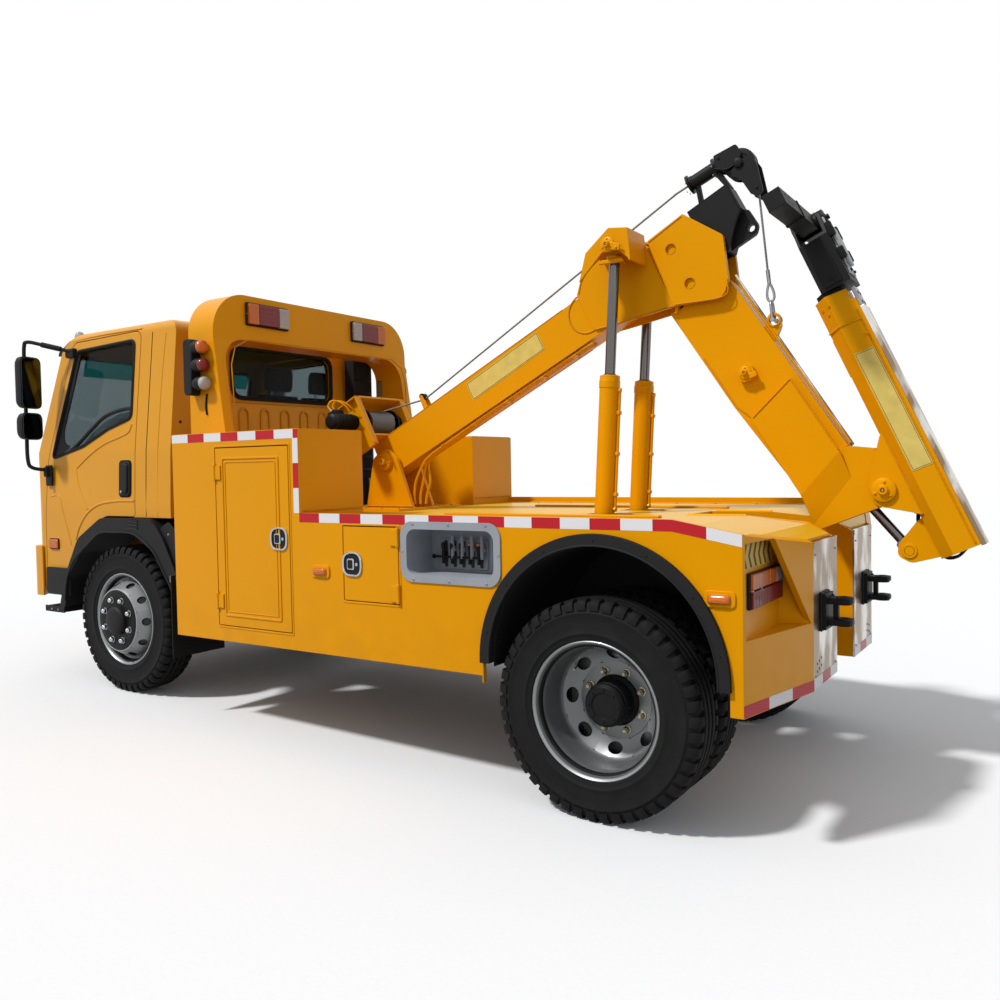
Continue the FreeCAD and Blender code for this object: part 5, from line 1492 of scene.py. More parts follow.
class TRUCK_OT_mirrors(bpy.types.Operator):
    """Two-glass mirrors on tubular arms"""
    bl_idname = "truck.mirrors"
    bl_label = "Mirrors"

    def execute(self, context):
        for word, side in SIDES:
            s = Shape(flip=side > 0)
            look = "black_plastic"
            s.tube(curved([(-575, -925, 2436), (-640, -975, 2462), (-740, -1058, 2494), (-812, -1118, 2512),
                           (-834, -1131, 2478), (-838, -1131, 2300), (-840, -1131, 1900), (-838, -1131, 1690),
                           (-822, -1110, 1628), (-790, -1010, 1608)], 7), 13, look, 14)
            s.tube([(-640, -975, 2462), (-740, -1058, 2494)], 19, look, 14)
            s.slab(-640, -545, -948, -905, 2400, 2466, look, 10)
            s.slab(-822, -748, -1016, -1000, 1496, 1644, look, 8)
            s.slab(-808, -770, -1040, -1006, 1560, 1632, look, 8)
            s.wrap = mirror_turn
            for low, high, width in ((2040, 2402, 47), (1822, 2012, 52)):
                rows = []
                for x, grow in ((-822, 34), (-812, 14), (-792, 3), (-760, 0), (-748, 1)):
                    rows.append([(x, a, b) for a, b in
                                 rounded(block(-1236 + grow, -1056 - grow, low + grow, high - grow, width))])
                s.loops(rows, look)
                s.prism("x", block(-1228, -1064, low + 9, high - 9, width - 8), -748.5, -746, "mirror_glass",
                        0.8)
                middle = (low + high) / 2
                for z in (middle - 55, middle + 55):
                    s.slab(-846, -812, -1152, -1112, z - 14, z + 14, look, 4)
                    s.bolt((-846, -1132, z), (-1, 0, 0), 6)
            s.wrap = None
            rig.replaces(s.piece("mirrors_" + word, "cab_door_" + word, "black_plastic"), "mirror_" + word)
        return {"FINISHED"}


class TRUCK_OT_cab_body(bpy.types.Operator):
    """Cab front, back wall, roof and seams"""
    bl_idname = "truck.cab_body"
    bl_label = "Cab body"

    def execute(self, context):
        s = Shape()
        x = CAB_REAR
        for grow, out, thick, look in ((0, 0, 10, "seal_rubber"), (13, 3, 7, "black_plastic")):
            s.tube([(x + out, a, b) for a,
                    b in rounded(block(-473 - grow, 473 + grow, 2086 - grow, 2418 + grow, 92))], thick, look,
                   8, closed=True)
        for k in range(5):
            y = -380 + 190 * k
            path = [(x + 1, y - 38, 1800), (x + 1, y - 38, 1960), (x + 1, y - 26, 1996), (x + 1, y, 2010),
                    (x + 1, y + 26, 1996), (x + 1, y + 38, 1960), (x + 1, y + 38, 1800)]
            s.tube(curved(path, 4), 7, "cab_paint", 8)
        s.tube([(x + 0.5, -760, 2052), (x + 0.5, 560, 2052)], 5, "cab_paint", 8)
        for side in (-1, 1):
            path = [(310, side * (cab_skin(z) - 0.5), z) for z in (1290, 1500, 1720, 2000, 2300, 2500)]
            s.tube(path, 3.2, "seal_rubber", 6)
            path = [(430 + max(0, z - 2200) * 0.08, side * (cab_skin(z) - 1), z)
                    for z in (1290, 1720, 2100, 2300, 2480)]
            s.tube(path, 4, "cab_paint", 6)
        for y in (-930, -905):
            s.disc((x - 2, y, 1500 if y == -930 else 1900), (1, 0, 0), 9, 4, "black_plastic")
        for k in range(9):
            z = 1560 + 100 * k
            s.prism("y", [(680, z), (688, z + 8), (680, z + 22)], 624, 801, "black_plastic", 1)
        s.prism("x", block(626, 799, 2300, 2452, 40), 679, 690, "black_plastic", 4)
        s.tube(curved([(640, 712, 1500), (650, 712, 1420), (660, 696, 1340), (655, 636, 1280),
                       (640, 540, 1240)]), 62, "hose_rubber", 20)
        s.tube(curved([(640, 712, 2462), (600, 730, 2520), (560, 750, 2500)]), 20, "hose_rubber", 12)
        s.piece("cab_rear_detail", "truck", "cab_paint")

        s = Shape()

        def front_x(z):
            for (z0, x0), (z1, x1) in zip(FRONT_LINE, FRONT_LINE[1:]):
                if z0 <= z <= z1:
                    return x0 + (x1 - x0) * (z - z0) / (z1 - z0)
            return FRONT_LINE[-1][1]

        rows = []
        for z in range(1090, 1300, 30):
            rows.append([(front_x(z) - 6 - 8 * (1 - abs(y) / 640), y, z) for y in range(-640, 641, 80)])
        s.sheet(rows[::-1], 14, "black_plastic")
        for k in range(6):
            z = 1104 + 28 * k
            path = [(front_x(z) - 22 - 8 * (1 - abs(y) / 640), y, z) for y in range(-620, 621, 62)]
            s.tube(path, 7, "bright_chrome" if k in (0, 5) else "black_plastic", 8)
        for side in (-1, 1):
            y0, y1 = sorted((side * 905, side * 560))
            s.prism("x", block(y0, y1, 850, 985, 26), -1080, -1104, "black_plastic", 6)
            s.prism("x", block(y0 + 12, y1 - 12, 862, 973, 20), -1100, -1112, "clear_lens", 4)
            for k, (y, look) in enumerate(((side * 640, "bright_chrome"), (side * 745, "bright_chrome"),
                                           (side * 850, "amber_lens"))):
                s.lathe([(36, 0), (32, 5), (20, 8), (2, 9)], (-1110, y, 917), (-1, 0, 0), look, 32)
            for k in range(3):
                s.slab(-1108, -1098, side * 300 - 90, side * 300 + 90, 730 + 30 * k, 740 + 30 * k,
                       "black_plastic", 3)
            s.tube(curved([(-952, side * 300, 1652), (-935, side * 180, 1700), (-880, side * -120, 1905)]), 7,
                   "black_plastic", 8)
            s.tube([(-915, side * 250, 1700), (-800, side * -160, 2130)], 6, "seal_rubber", 6)
            s.tube([(front_x(1990) - 18, side * 20, 1700), (front_x(1990) - 18, side * 20, 1701)], 5,
                   "seal_rubber", 6)
        s.prism("x", block(-230, 230, 740, 880, 10), -1088, -1106, "bright_steel", 2)
        s.prism("x", block(-222, 222, 748, 872, 8), -1105, -1108, "white_tape", 1)
        for a, b in (((-868, 1650), (868, 1650)), ((868, 1650), (815, 2420)), ((815, 2420), (-815, 2420)),
                     ((-815, 2420), (-868, 1650))):
            path = []
            for k in range(13):
                y, z = a[0] + (b[0] - a[0]) * k / 12, a[1] + (b[1] - a[1]) * k / 12
                path.append((front_x(z) + 50 * (abs(y) / 870) ** 4 - 2, y, z))
            s.tube(path, 12, "seal_rubber", 8)
        rows = [[(front_x(z) + 34 + 50 * (abs(y) / 870) ** 4, y, z) for y in range(-760, 761, 95)]
                for z in range(2290, 2431, 35)]
        s.sheet(rows, 3, "sun_band")
        s.prism("y", [(-720, 2540), (-860, 2470), (-870, 2440), (-845, 2440), (-700, 2500)], -860, 860,
                "black_plastic", 5)
        s.piece("cab_front_detail", "truck", "cab_paint")

        s = Shape()
        for side in (-1, 1):
            s.lathe([(46, 0), (46, 10), (40, 14)], (-700, side * 790, 2545), (0, 0, 1), "bright_chrome", 32)
            s.lathe([(36, 10), (35, 30), (30, 48), (20, 60), (4, 66)], (-700, side * 790, 2547), (0, 0, 1),
                    "clear_lens", 32)
        s.tube([(-640, 0, 2608), (520, 0, 2618)], 4, "cab_paint", 6)
        s.tube([(330, -880, 2556), (332, -500, 2606), (332, 0, 2628), (332, 500, 2606), (330, 880, 2556)], 4,
               "seal_rubber", 6)
        s.piece("roof_detail", "truck", "cab_paint")
        return {"FINISHED"}


FRONT_LINE = ((765, -1000), (1120, -1028), (1400, -1012), (1560, -1000), (1700, -955), (2100, -835),
              (2470, -725), (2560, -640))


def cushion(shape, x0, x1, y0, y1, z0, z1, look, swell=14, lean=0.0, across=14, along=10):
    """A soft block with a swollen face; lean moves its top back."""
    rows = []
    for i in range(along + 1):
        v = i / along
        row = []
        for j in range(across * 2):
            t = 2 * math.pi * j / (across * 2)
            u, w = math.cos(t), math.sin(t)
            square = 1 / max(abs(u) ** 5 + abs(w) ** 5, 1e-6) ** 0.2
            end = 1 - 0.12 * abs(2 * v - 1) ** 6
            a = (x0 + x1) / 2 + (x1 - x0) / 2 * u * square * end
            b = (y0 + y1) / 2 + (y1 - y0) / 2 * w * square * end
            push = swell * math.sin(math.pi * v) * (0.5 + 0.5 * abs(u))
            row.append((a + (push if u > 0 else -push) * 0.3 + lean * v, b, z0 + (z1 - z0) * v))
        rows.append(row)
    shape.loops(rows, look)


class TRUCK_OT_interior(bpy.types.Operator):
    """Seats, head rests, steering wheel and dashboard"""
    bl_idname = "truck.interior"
    bl_label = "Cab interior"

    def execute(self, context):
        for name, y0, y1 in (("driver", -760, -270), ("passenger", -130, 760)):
            s = Shape()
            parts = max(1, round((y1 - y0) / 460))
            width = (y1 - y0) / parts
            for k in range(parts):
                a, b = y0 + width * k, y0 + width * (k + 1)
                cushion(s, -330, 235, a + 6, b - 6, 1440, 1585, "seat_fabric", 16)
                cushion(s, -335, 240, a + 2, b - 2, 1332, 1450, "seat_side", 4)
                cushion(s, 238, 335, a + 14, b - 14, 1590, 2130, "seat_fabric", 30, 100)
                cushion(s, 360, 430, (a + b) / 2 - 120, (a + b) / 2 + 120, 2165, 2330, "seat_fabric", 12, 14)
                for y in ((a + b) / 2 - 60, (a + b) / 2 + 60):
                    s.tube([(392, y, 2110), (396, y, 2200)], 7, "bright_chrome", 10)
                for y in ((a + b) / 2 - 90, (a + b) / 2 + 90):
                    s.tube([(-300, y, 1588), (-40, y, 1594), (215, y, 1588)], 4, "seat_side", 6)
            made = s.piece("seat_" + name, "truck", "seat_fabric")
            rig.padded(made, 0.75)
            if name == "driver":
                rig.replaces(made, "cab_seats")
        s = Shape()
        centre, axis = Vector((-455, -480, 1812)), Vector((0.81, 0, 0.59)).normalized()
        a, b = basis(axis)
        turns = [2 * math.pi * i / 48 for i in range(48)]
        s.tube([centre + (a * math.cos(t) + b * math.sin(t)) * 200 for t in turns], 15, "black_plastic", 12,
               closed=True)
        for t in (0.3, math.pi - 0.3, -math.pi / 2):
            s.tube([centre - axis * 30, centre + (b * math.sin(t) + a * math.cos(t)) * 190], 12,
                   "black_plastic", 8)
        s.dome(centre - axis * 40, axis, 62, 34, "dash_plastic")
        s.tube([centre - axis * 40, Vector((-690, -480, 1640))], 32, "dash_plastic", 16)
        s.tube([(-560, -480, 1740), (-560, -640, 1790)], 8, "black_plastic", 8)
        s.tube([(-560, -480, 1740), (-560, -330, 1770)], 8, "black_plastic", 8)
        s.prism("y", [(-905, 1690, 20), (-700, 1762, 20), (-600, 1602, 20), (-620, 1560, 20),
                      (-880, 1640, 20)], -800, 800, "dash_plastic", 12)
        s.prism("y", [(-800, 1740, 20), (-700, 1812, 40), (-640, 1790, 30), (-660, 1700, 20)], -680, -300,
                "dash_plastic", 12)
        for y in (-570, -480, -390):
            s.disc((-652, y, 1745), (0.9, 0, 0.2), 38, 3, "bright_chrome", 32)
            s.disc((-649, y, 1746), (0.9, 0, 0.2), 33, 3, "clear_lens", 32)
        s.prism("x", block(-120, 120, 1580, 1690, 12), -618, -596, "black_plastic", 4)
        for y in (-80, 0, 80):
            s.disc((-598, y, 1600), (1, 0, 0), 18, 14, "grey_plastic", 24)
        for y in (-250, 250, 600):
            s.prism("x", block(y - 60, y + 60, 1690, 1738, 10), -700, -640, "black_plastic", 4)
        s.tube(curved([(-420, -180, 1330), (-400, -180, 1480), (-360, -175, 1600)]), 10, "black_plastic", 10)
        s.dome((-358, -175, 1596), (0.2, 0, 1), 26, 34, "black_plastic", 20)
        s.slab(-700, 250, -900, 900, 1329, 1338, "seal_rubber", 2)
        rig.slot(s.piece("cab_controls", "truck", "dash_plastic"), "dash_plastic")
        return {"FINISHED"}


class TRUCK_OT_front_wheelarch(bpy.types.Operator):
    """Vents, edge beads, side panels, step treads and bolts about the front arches"""
    bl_idname = "truck.front_wheelarch"
    bl_label = "Front arches"

    def execute(self, context):
        for word, side in SIDES:
            s = Shape(flip=side > 0)
            for k in range(3):
                z = 1262 - 22 * k
                s.prism("y", [(150, z - 6, 3), (262, z - 14, 3), (262, z - 4, 3), (150, z + 4, 3)], -1034,
                        -1038, "dash_plastic", 1)
                s.prism("y", [(146, z + 4, 2), (266, z - 4, 2), (266, z + 2, 2), (146, z + 9, 2)], -1034,
                        -1042, "black_plastic", 1)
            edge = [(-596, 690), (-558, 850), (-470, 975), (-390, 1035), (-270, 1110), (-150, 1176),
                    (20, 1184), (200, 1180), (330, 1130), (430, 1058), (520, 940), (596, 830), (640, 700)]
            s.tube([Vector((p.x, -1036, p.z)) for p in curved([(x, 0, z) for x, z in edge], 4)], 7,
                   "black_plastic", 8)
            s.prism("y", block(-850, -560, 717, 912, 18), -1003, -1018, "black_plastic", 3)
            for k in range(9):
                x = -884 + 24 * k
                s.slab(x, x + 12, -992, -772, 624, 629, "black_steel", 1.5)
            s.slab(-904, -664, -1004, -994, 586, 630, "black_plastic", 3)
            for x in (-820, -740):
                s.bolt((x, -1004, 606), (0, -1, 0), 7, "bright_steel")
            s.slab(520, 700, -1000, -760, 1150, 1158, "black_plastic", 2)
            s.prism("y", [(468, 1216, 20), (560, 1100, 30), (640, 940, 20), (700, 700, 20), (700, 1150, 20),
                          (560, 1262, 30)], -1020, -1012, "black_plastic", 2)
            for x, z in ((560, 1180), (650, 1080), (670, 900)):
                s.bolt((x, -1020, z), (0, -1, 0), 7, "bright_steel")
            s.piece("front_arch_trim_" + word, "truck", "black_plastic")
        return {"FINISHED"}


# ---------------------------------------------------------------- boom and winch

def pin_end(shape, centre, out, radius, look="body_paint"):
    """A pivot's end: flange, keeper bolts, hub and grease point."""
    out = Vector(out)
    centre = Vector(centre)
    shape.lathe([(radius, 0), (radius, 5), (radius - 3, 7)], centre, out, look, 48)
    shape.lathe([(radius * 0.42, 6), (radius * 0.42, 22), (radius * 0.36, 26), (radius * 0.2, 26),
                 (radius * 0.2, 16)], centre, out, look, 32)
    shape.bolts(centre + out * 6, out, radius * 0.72, 3, radius * 0.16, look, 0.5)
    shape.disc(centre + out * 16, out, radius * 0.1, 8, "zinc_bolt", 14)


def clamp(shape, ys, s, n, look="body_paint"):
    shape.slab(s - 16, s + 16, ys[0] - 16, ys[-1] + 16, n - 12, n - 4, look, 2)
    for y in (ys[0] - 11, ys[-1] + 11):
        shape.bolt((s, y, n - 12), (0, 0, -1), 6, look)


class TRUCK_OT_boom(bpy.types.Operator):
    """Pipes, clamps, blank plates and fixings on the outer boom"""
    bl_idname = "truck.boom"
    bl_label = "Boom"

    def execute(self, context):
        s = Shape(BOOM)
        for side in (-1, 1):
            y = side * (BOOM_HALF + 0.2)
            outline = [(777, 13, 6), (1357, 21, 6), (1357, 139, 6), (777, 131, 6)]
            s.prism("y", outline, y, y + side * 1.6, "plate_gold", 0.5)
            outer, inner = shrunk(rounded(outline), 5), shrunk(rounded(outline), 7.2)
            rings = [(outer, 1.5), (outer, 2.0), (inner, 2.0), (inner, 1.5)]
            s.loops([[(a, y + side * d, b) for a, b in ring] for ring, d in rings], "plate_line", closed=True)
            for edge in (BOOM_TOP - 1, BOOM_LOW + 1):
                s.tube([(-60, side * (BOOM_HALF - 1), edge), (1560, side * (BOOM_HALF - 1), edge)], 3.5,
                       "weld_paint", 6)
            pin_end(s, (0, side * 130, 0), (0, side, 0), 58)
        for y in (-64, -44, -24):
            s.tube(curved([(1640, y, -112), (1500, y, -106), (900, y, -106), (652, y, -110), (332, y, -118)],
                          5), 8, "body_paint", 10)
        for place in (440, 700, 980, 1260, 1500):
            clamp(s, (-64, -44, -24), place, -106)
        s.tube([(400, -20, 264), (400, 20, 264)], 20, "black_steel", 20)
        for y in (-26, 26):
            s.prism("y", [(380, 157), (420, 157), (412, 270, 12), (388, 270, 12)], y - 4, y + 4,
                    "body_paint", 1.5)
        s.slab(2180, BOOM_LENGTH_END, -BOOM_HALF - 6, BOOM_HALF + 6, BOOM_TOP - 0.5, BOOM_TOP + 8,
               "body_paint", 2)
        s.slab(130, 210, -60, 60, BOOM_TOP - 0.5, BOOM_TOP + 4, "body_paint", 2)
        s.piece("boom_fittings", "boom", "body_paint")

        s = Shape(BOOM)
        for k, y in enumerate((-64, -44, -24)):
            s.tube(curved([(332, y, -118), (250, y, -136 - 4 * k), (139 + 33 * k, y, -205 - 25 * k),
                           (82 + 30 * k, y, -276 - 20 * k), (54 + 25 * k, y, -340 - 13 * k)], 8), 8,
                   "body_paint", 10)
        made = s.piece("pipes_to_deck", None, "body_paint")
        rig.blend(made, "boom", "truck", tuple(BODY @ BOOM @ Vector((332, -44, -118))),
                 tuple(BODY @ BOOM @ Vector((80, -44, -352))))

        s = Shape()
        for side in (-1, 1):
            y = side * 316
            pin_end(s, (LIFT_EYE[0], y, LIFT_EYE[1]), (0, side, 0), 40)
            s.prism("y", [(3345, 2700, 6), (3400, 2690, 6), (3408, 2722, 6), (3352, 2742, 6)], y - side * 2,
                    y + side * 9, "body_paint", 2)
            s.bolt((3384, y + side * 9, 2706), (0, side, 0), 8, "body_paint")
            s.prism("y", [(3270, 2660), (3395, 2660), (3410, 2640), (3262, 2640)], side * 284, side * 262,
                    "body_paint", 2)
            inner = side * (BOOM_HALF + 9)
            s.tube(curved([(3034, inner, 2540), (3062, inner, 2626), (3152, inner, 2712),
                           (3322, inner, 2806)], 4), 4.5, "weld_paint", 6)
            s.tube(curved([(3140, inner, 2332), (3262, inner, 2350), (3600, inner, 2410)], 4), 4.5,
                   "weld_paint", 6)
            centre, arc = Vector((3075, side * (BOOM_HALF + 1), 2430)), []
            for i in range(19):
                t = math.radians(75 + 13 * i)
                arc.append(centre + Vector((math.cos(t) * 112, 0, math.sin(t) * 112)))
            s.tube(arc, 5, "weld_paint", 6)
            outer = side * (BOOM_HALF + 17)
            for x, z in ((3592, 2711), (3697, 2518)):
                ring = [(31, 0), (31, 1.2), (27.5, 1.6), (26.5, 0.2)]
                s.lathe(ring, (x, outer - side * 0.2, z), (0, side, 0), "body_paint", 40, True)
            s.tube(curved([(3468, outer, 2765), (3655, outer, 2872)], 2), 4, "weld_paint", 6)
            s.tube(curved([(3612, outer, 2415), (3880, outer, 2428), (3898, outer, 2512)], 4), 3.5,
                   "weld_paint", 6)
            rear = side * (48 + 1)
            pin_end(s, (TILT_TOP[0], side * 88, TILT_TOP[1]), (0, side, 0), 34)
            s.prism("y", [(4010, 1995, 4), (4050, 2010, 4), (4042, 2036, 4), (4004, 2022, 4)], side * 84,
                    side * 96, "body_paint", 2)
            s.tube([(4026, side * 89, 1798), (4214, side * 89, 1984)], 4, "weld_paint", 6)
            s.tube([(4213, side * 89, 1982), (4440, side * 89, 1628)], 4, "weld_paint", 6)
            s.tube([(3756, rear, 2120), (3930, rear, 1858), (4020, rear, 1790)], 4, "weld_paint", 6)
        s.tube([(3910, 0, 2545), (4490, 0, 1648)], 9, "stainless", 12)
        s.tube([(3918, -22, 2520), (4484, -22, 1656)], 6, "body_paint", 10)
        s.tube([(4118, -17, 2290), (4118, 17, 2290)], 4, "body_paint", 6)
        for y in (-15, 15):
            s.lathe([(25, 0), (25, 3), (33, 3), (35, 0)], (4114, y, 2290), (0, 1 if y > 0 else -1, 0),
                    "body_paint", 32, True)
        s.piece("boom_head_detail", "boom", "body_paint")
        return {"FINISHED"}


BOOM_LENGTH_END = 2150.0 + 225


class TRUCK_OT_winch(bpy.types.Operator):
    """Winch drum with its rope, motor, frame and hoses"""
    bl_idname = "truck.winch"
    bl_label = "Winch"

    def execute(self, context):
        x, n = DRUM
        s = Shape(BOOM)
        turns = 21
        for layer, radius in enumerate((67, 76)):
            path = []
            for i in range(turns * 20 + 1):
                t = 2 * math.pi * i / 20
                y = -118 + 236 * i / (turns * 20)
                path.append((x + radius * math.cos(t), y if layer == 0 else -y, n + radius * math.sin(t)))
            s.tube(path, 5.2, "wire_rope", 5)
        for side in (-1, 1):
            s.lathe([(93, 132), (93, 145), (87, 146), (84, 140), (60, 140), (56, 146), (34, 146)], (x, 0, n),
                    (0, side, 0), "black_steel", 48)
            s.bolts((x, side * 141, n), (0, side, 0), 71, 6, 8, "bright_steel")
        made = s.piece("winch_rope", "winch_drum", "black_steel")
        s = Shape(BOOM)
        for side in (-1, 1):
            for k in range(5):
                s.lathe([(66.5, 0), (70, 1), (70, 5), (66.5, 6)], (x, side * (156 + 9 * k), n), (0, side, 0),
                        "black_steel", 40, True)
            s.bolts((x, side * 200, n), (0, side, 0), 53, 8, 8, "bright_steel")
        for k in range(8):
            s.lathe([(50, 0), (54, 1), (54, 7), (50, 8)], (x, -240 - 20 * k, n), (0, -1, 0), "black_steel",
                    36, True)
        s.lathe([(50, 0), (50, 8), (41, 16), (28, 20), (8, 20)], (x, -416, n), (0, -1, 0), "black_steel", 36)
        s.bolts((x, -420, n), (0, -1, 0), 39, 4, 8, "bright_steel")
        s.slab(x - 42, x + 26, -390, -300, n + 44, n + 80, "black_steel", 8)
        for k, dy in enumerate((-372, -330)):
            s.disc((x - 10, dy, n + 78), (0, 0, 1), 11, 16, "bright_steel", 6)
            s.tube(curved([(x - 10, dy, n + 90), (x - 20, dy, n + 124), (x + 8, dy + 16, n + 148),
                           (x + 40, dy + 40, n + 128), (x + 62, dy + 62, n + 84),
                           (x + 64, dy + 78 + 12 * k, n + 40)], 7), 6, "body_paint", 12)
        for side in (-1, 1):
            y = side * 213
            s.prism("y", [(-98, 100, 10), (73, 100, 10), (73, 446, 10), (-98, 446, 10)], y, y + side * 1,
                    "body_paint", 0.3)
            y0, y1 = min(y, y + side * 34), max(y, y + side * 34)
            for a in (-95, 70):
                s.slab(a - 5, a + 5, y0, y1, 100, 446, "body_paint", 2)
            s.slab(-100, 75, y0, y1, 437, 447, "body_paint", 2)
            s.bolts((x, y, n), (0, side, 0), 80, 6, 9, "body_paint")
        s.slab(-98, 73, -200, 200, 446.5, 451, "body_paint", 1)
        s.piece("winch_detail", "boom", "body_paint")

        s = Shape()
        axle = Vector((SHEAVE[0], 0, SHEAVE[1]))
        path = [Vector((3580, 0, 3018)), Vector((3870, 0, 3142.3)), Vector((3905, 0, 3160))]
        for i in range(13):
            t = math.radians(104 - 104 * i / 12)
            path.append(axle + Vector((math.cos(t) * 76, 0, math.sin(t) * 76)))
        path.append(Vector((4029, 0, 3040)))
        rope = mm(context.scene.truck_sizes.rope_radius)
        s.tube(curved(path, 3), rope, "wire_rope", 10)
        s.piece("rope_over_sheave", "inner_boom", "black_steel")

        run = Shape()
        low, high = BOOM @ Vector((-31, 0, 377)), BOOM @ Vector((400, 0, 243))
        end = Vector((3590, 0, 3022))
        run.tube([low + (high - low) * i / 10 for i in range(11)]
                 + [high + (end - high) * i / 40 for i in range(1, 41)], rope, "wire_rope", 10)
        made = run.piece("rope_along_boom", None, "black_steel")
        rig.blend(made, "boom", "inner_boom", tuple(BODY @ high), tuple(BODY @ end))

        drop = Shape()
        top, bottom = Vector((4028, 0, 3048)), Vector((4080, 0, 2540))
        drop.tube([top + (bottom - top) * i / 30 for i in range(31)], rope, "wire_rope", 10)
        made = drop.piece("rope_down", None, "black_steel")
        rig.blend(made, "inner_boom", "boom", tuple(BODY @ top), tuple(BODY @ bottom))

        s = Shape()
        down = (Vector((4114, 0, 2290)) - top).normalized()
        s.tube([bottom - down * 10, bottom + down * 62], 10, "bright_steel", 16)
        eye = bottom + down * 118
        across = Vector((down.z, 0, -down.x))
        link = []
        for i in range(32):
            t = 2 * math.pi * i / 32
            share = (1 - math.cos(t)) / 2
            link.append(eye + down * (-58 + 92 * share) + across * 24 * math.sin(t) * (0.4 + 0.6 * share))
        s.tube(link, 6.5, "bright_steel", 10, closed=True)
        shackle = eye + down * 62
        loop = []
        for i in range(13):
            t = math.pi * i / 12
            loop.append(shackle + down * (-26 * math.sin(t) - 2) + Vector((0, 1, 0)) * 20 * math.cos(t))
        loop = [Vector((4108, 24, 2296))] + loop + [Vector((4108, -24, 2296))]
        s.tube(curved(loop, 3), 7.5, "bright_steel", 12)
        s.tube([(4112, -34, 2293), (4112, 34, 2293)], 9, "bright_steel", 14)
        for y in (-34, 34):
            s.disc((4112, y, 2293), (0, 1 if y > 0 else -1, 0), 13, 9, "bright_steel", 6)
        s.piece("rope_shackle", "boom", "black_steel")
        return {"FINISHED"}


class TRUCK_OT_sheave_head(bpy.types.Operator):
    """Welds, caps and bolts on the inner boom's head, and the grooved sheave"""
    bl_idname = "truck.sheave_head"
    bl_label = "Sheave head"

    def execute(self, context):
        s = Shape()
        for side in (-1, 1):
            s.lathe([(17, 0), (17, 4), (26, 5), (26, 12), (20, 16), (8, 16)],
                    (SHEAVE[0], side * 45, SHEAVE[1]), (0, side, 0), "black_steel", 6)
            s.bolt((3840, side * 46, 3150), (0, side, 0), 9, "black_steel")
            s.bolt((4040, side * 46, 2965), (0, side, 0), 9, "black_steel")
            s.tube(curved([(3816, side * 47, 3100), (3884, side * 47, 3086), (3938, side * 47, 3110),
                           (3958, side * 47, 3148)], 4), 4, "black_steel", 6)
            s.tube([(3676, side * 63, 2894), (3886, side * 63, 3002), (3955, side * 63, 2862),
                    (3926, side * 63, 2784)], 4, "black_steel", 6)
            s.lathe([(18.5, 0), (18.5, 3), (27, 3), (29, 0)], (4002, side * 15, 2772), (0, side, 0),
                    "black_steel", 32, True)
        for x, z in ((3664, 3054), (3807, 3115.3)):
            for k in range(6):
                t = 2 * math.pi * k / 6
                place = Vector((x - 2, 44 * math.cos(t), z + 44 * math.sin(t)))
                s.disc(place, (-0.919, 0, -0.394), 5, 4, "bright_steel", 6)
        s.lathe([(36.5, 20), (39, 22), (39, 30), (36.5, 32)], (3664, 0, 3054), (0.919, 0, 0.394),
                "black_steel", 36, True)
        s.tube([(3740, 0, 2900), (3712, 0, 3045)], 15, "black_steel", 12)
        s.prism("y", [(3884, 3010, 6), (3896, 3000, 6), (3966, 2868, 6), (3950, 2864, 6), (3878, 2996, 6)],
                -64, 64, "black_steel", 2)
        s.piece("sheave_head_detail", "inner_boom", "black_steel")
        s = Shape()
        for side in (-1, 1):
            s.lathe([(70, 20), (80, 22), (80, 28), (74, 30), (52, 30), (46, 24), (30, 24), (26, 31),
                     (17, 31)], (SHEAVE[0], 0, SHEAVE[1]), (0, side, 0), "black_steel", 56)
            s.bolts((SHEAVE[0], side * 25, SHEAVE[1]), (0, side, 0), 38, 5, 5, "bright_steel")
        s.piece("sheave_flanges", "rope_sheave", "black_steel")
        return {"FINISHED"}


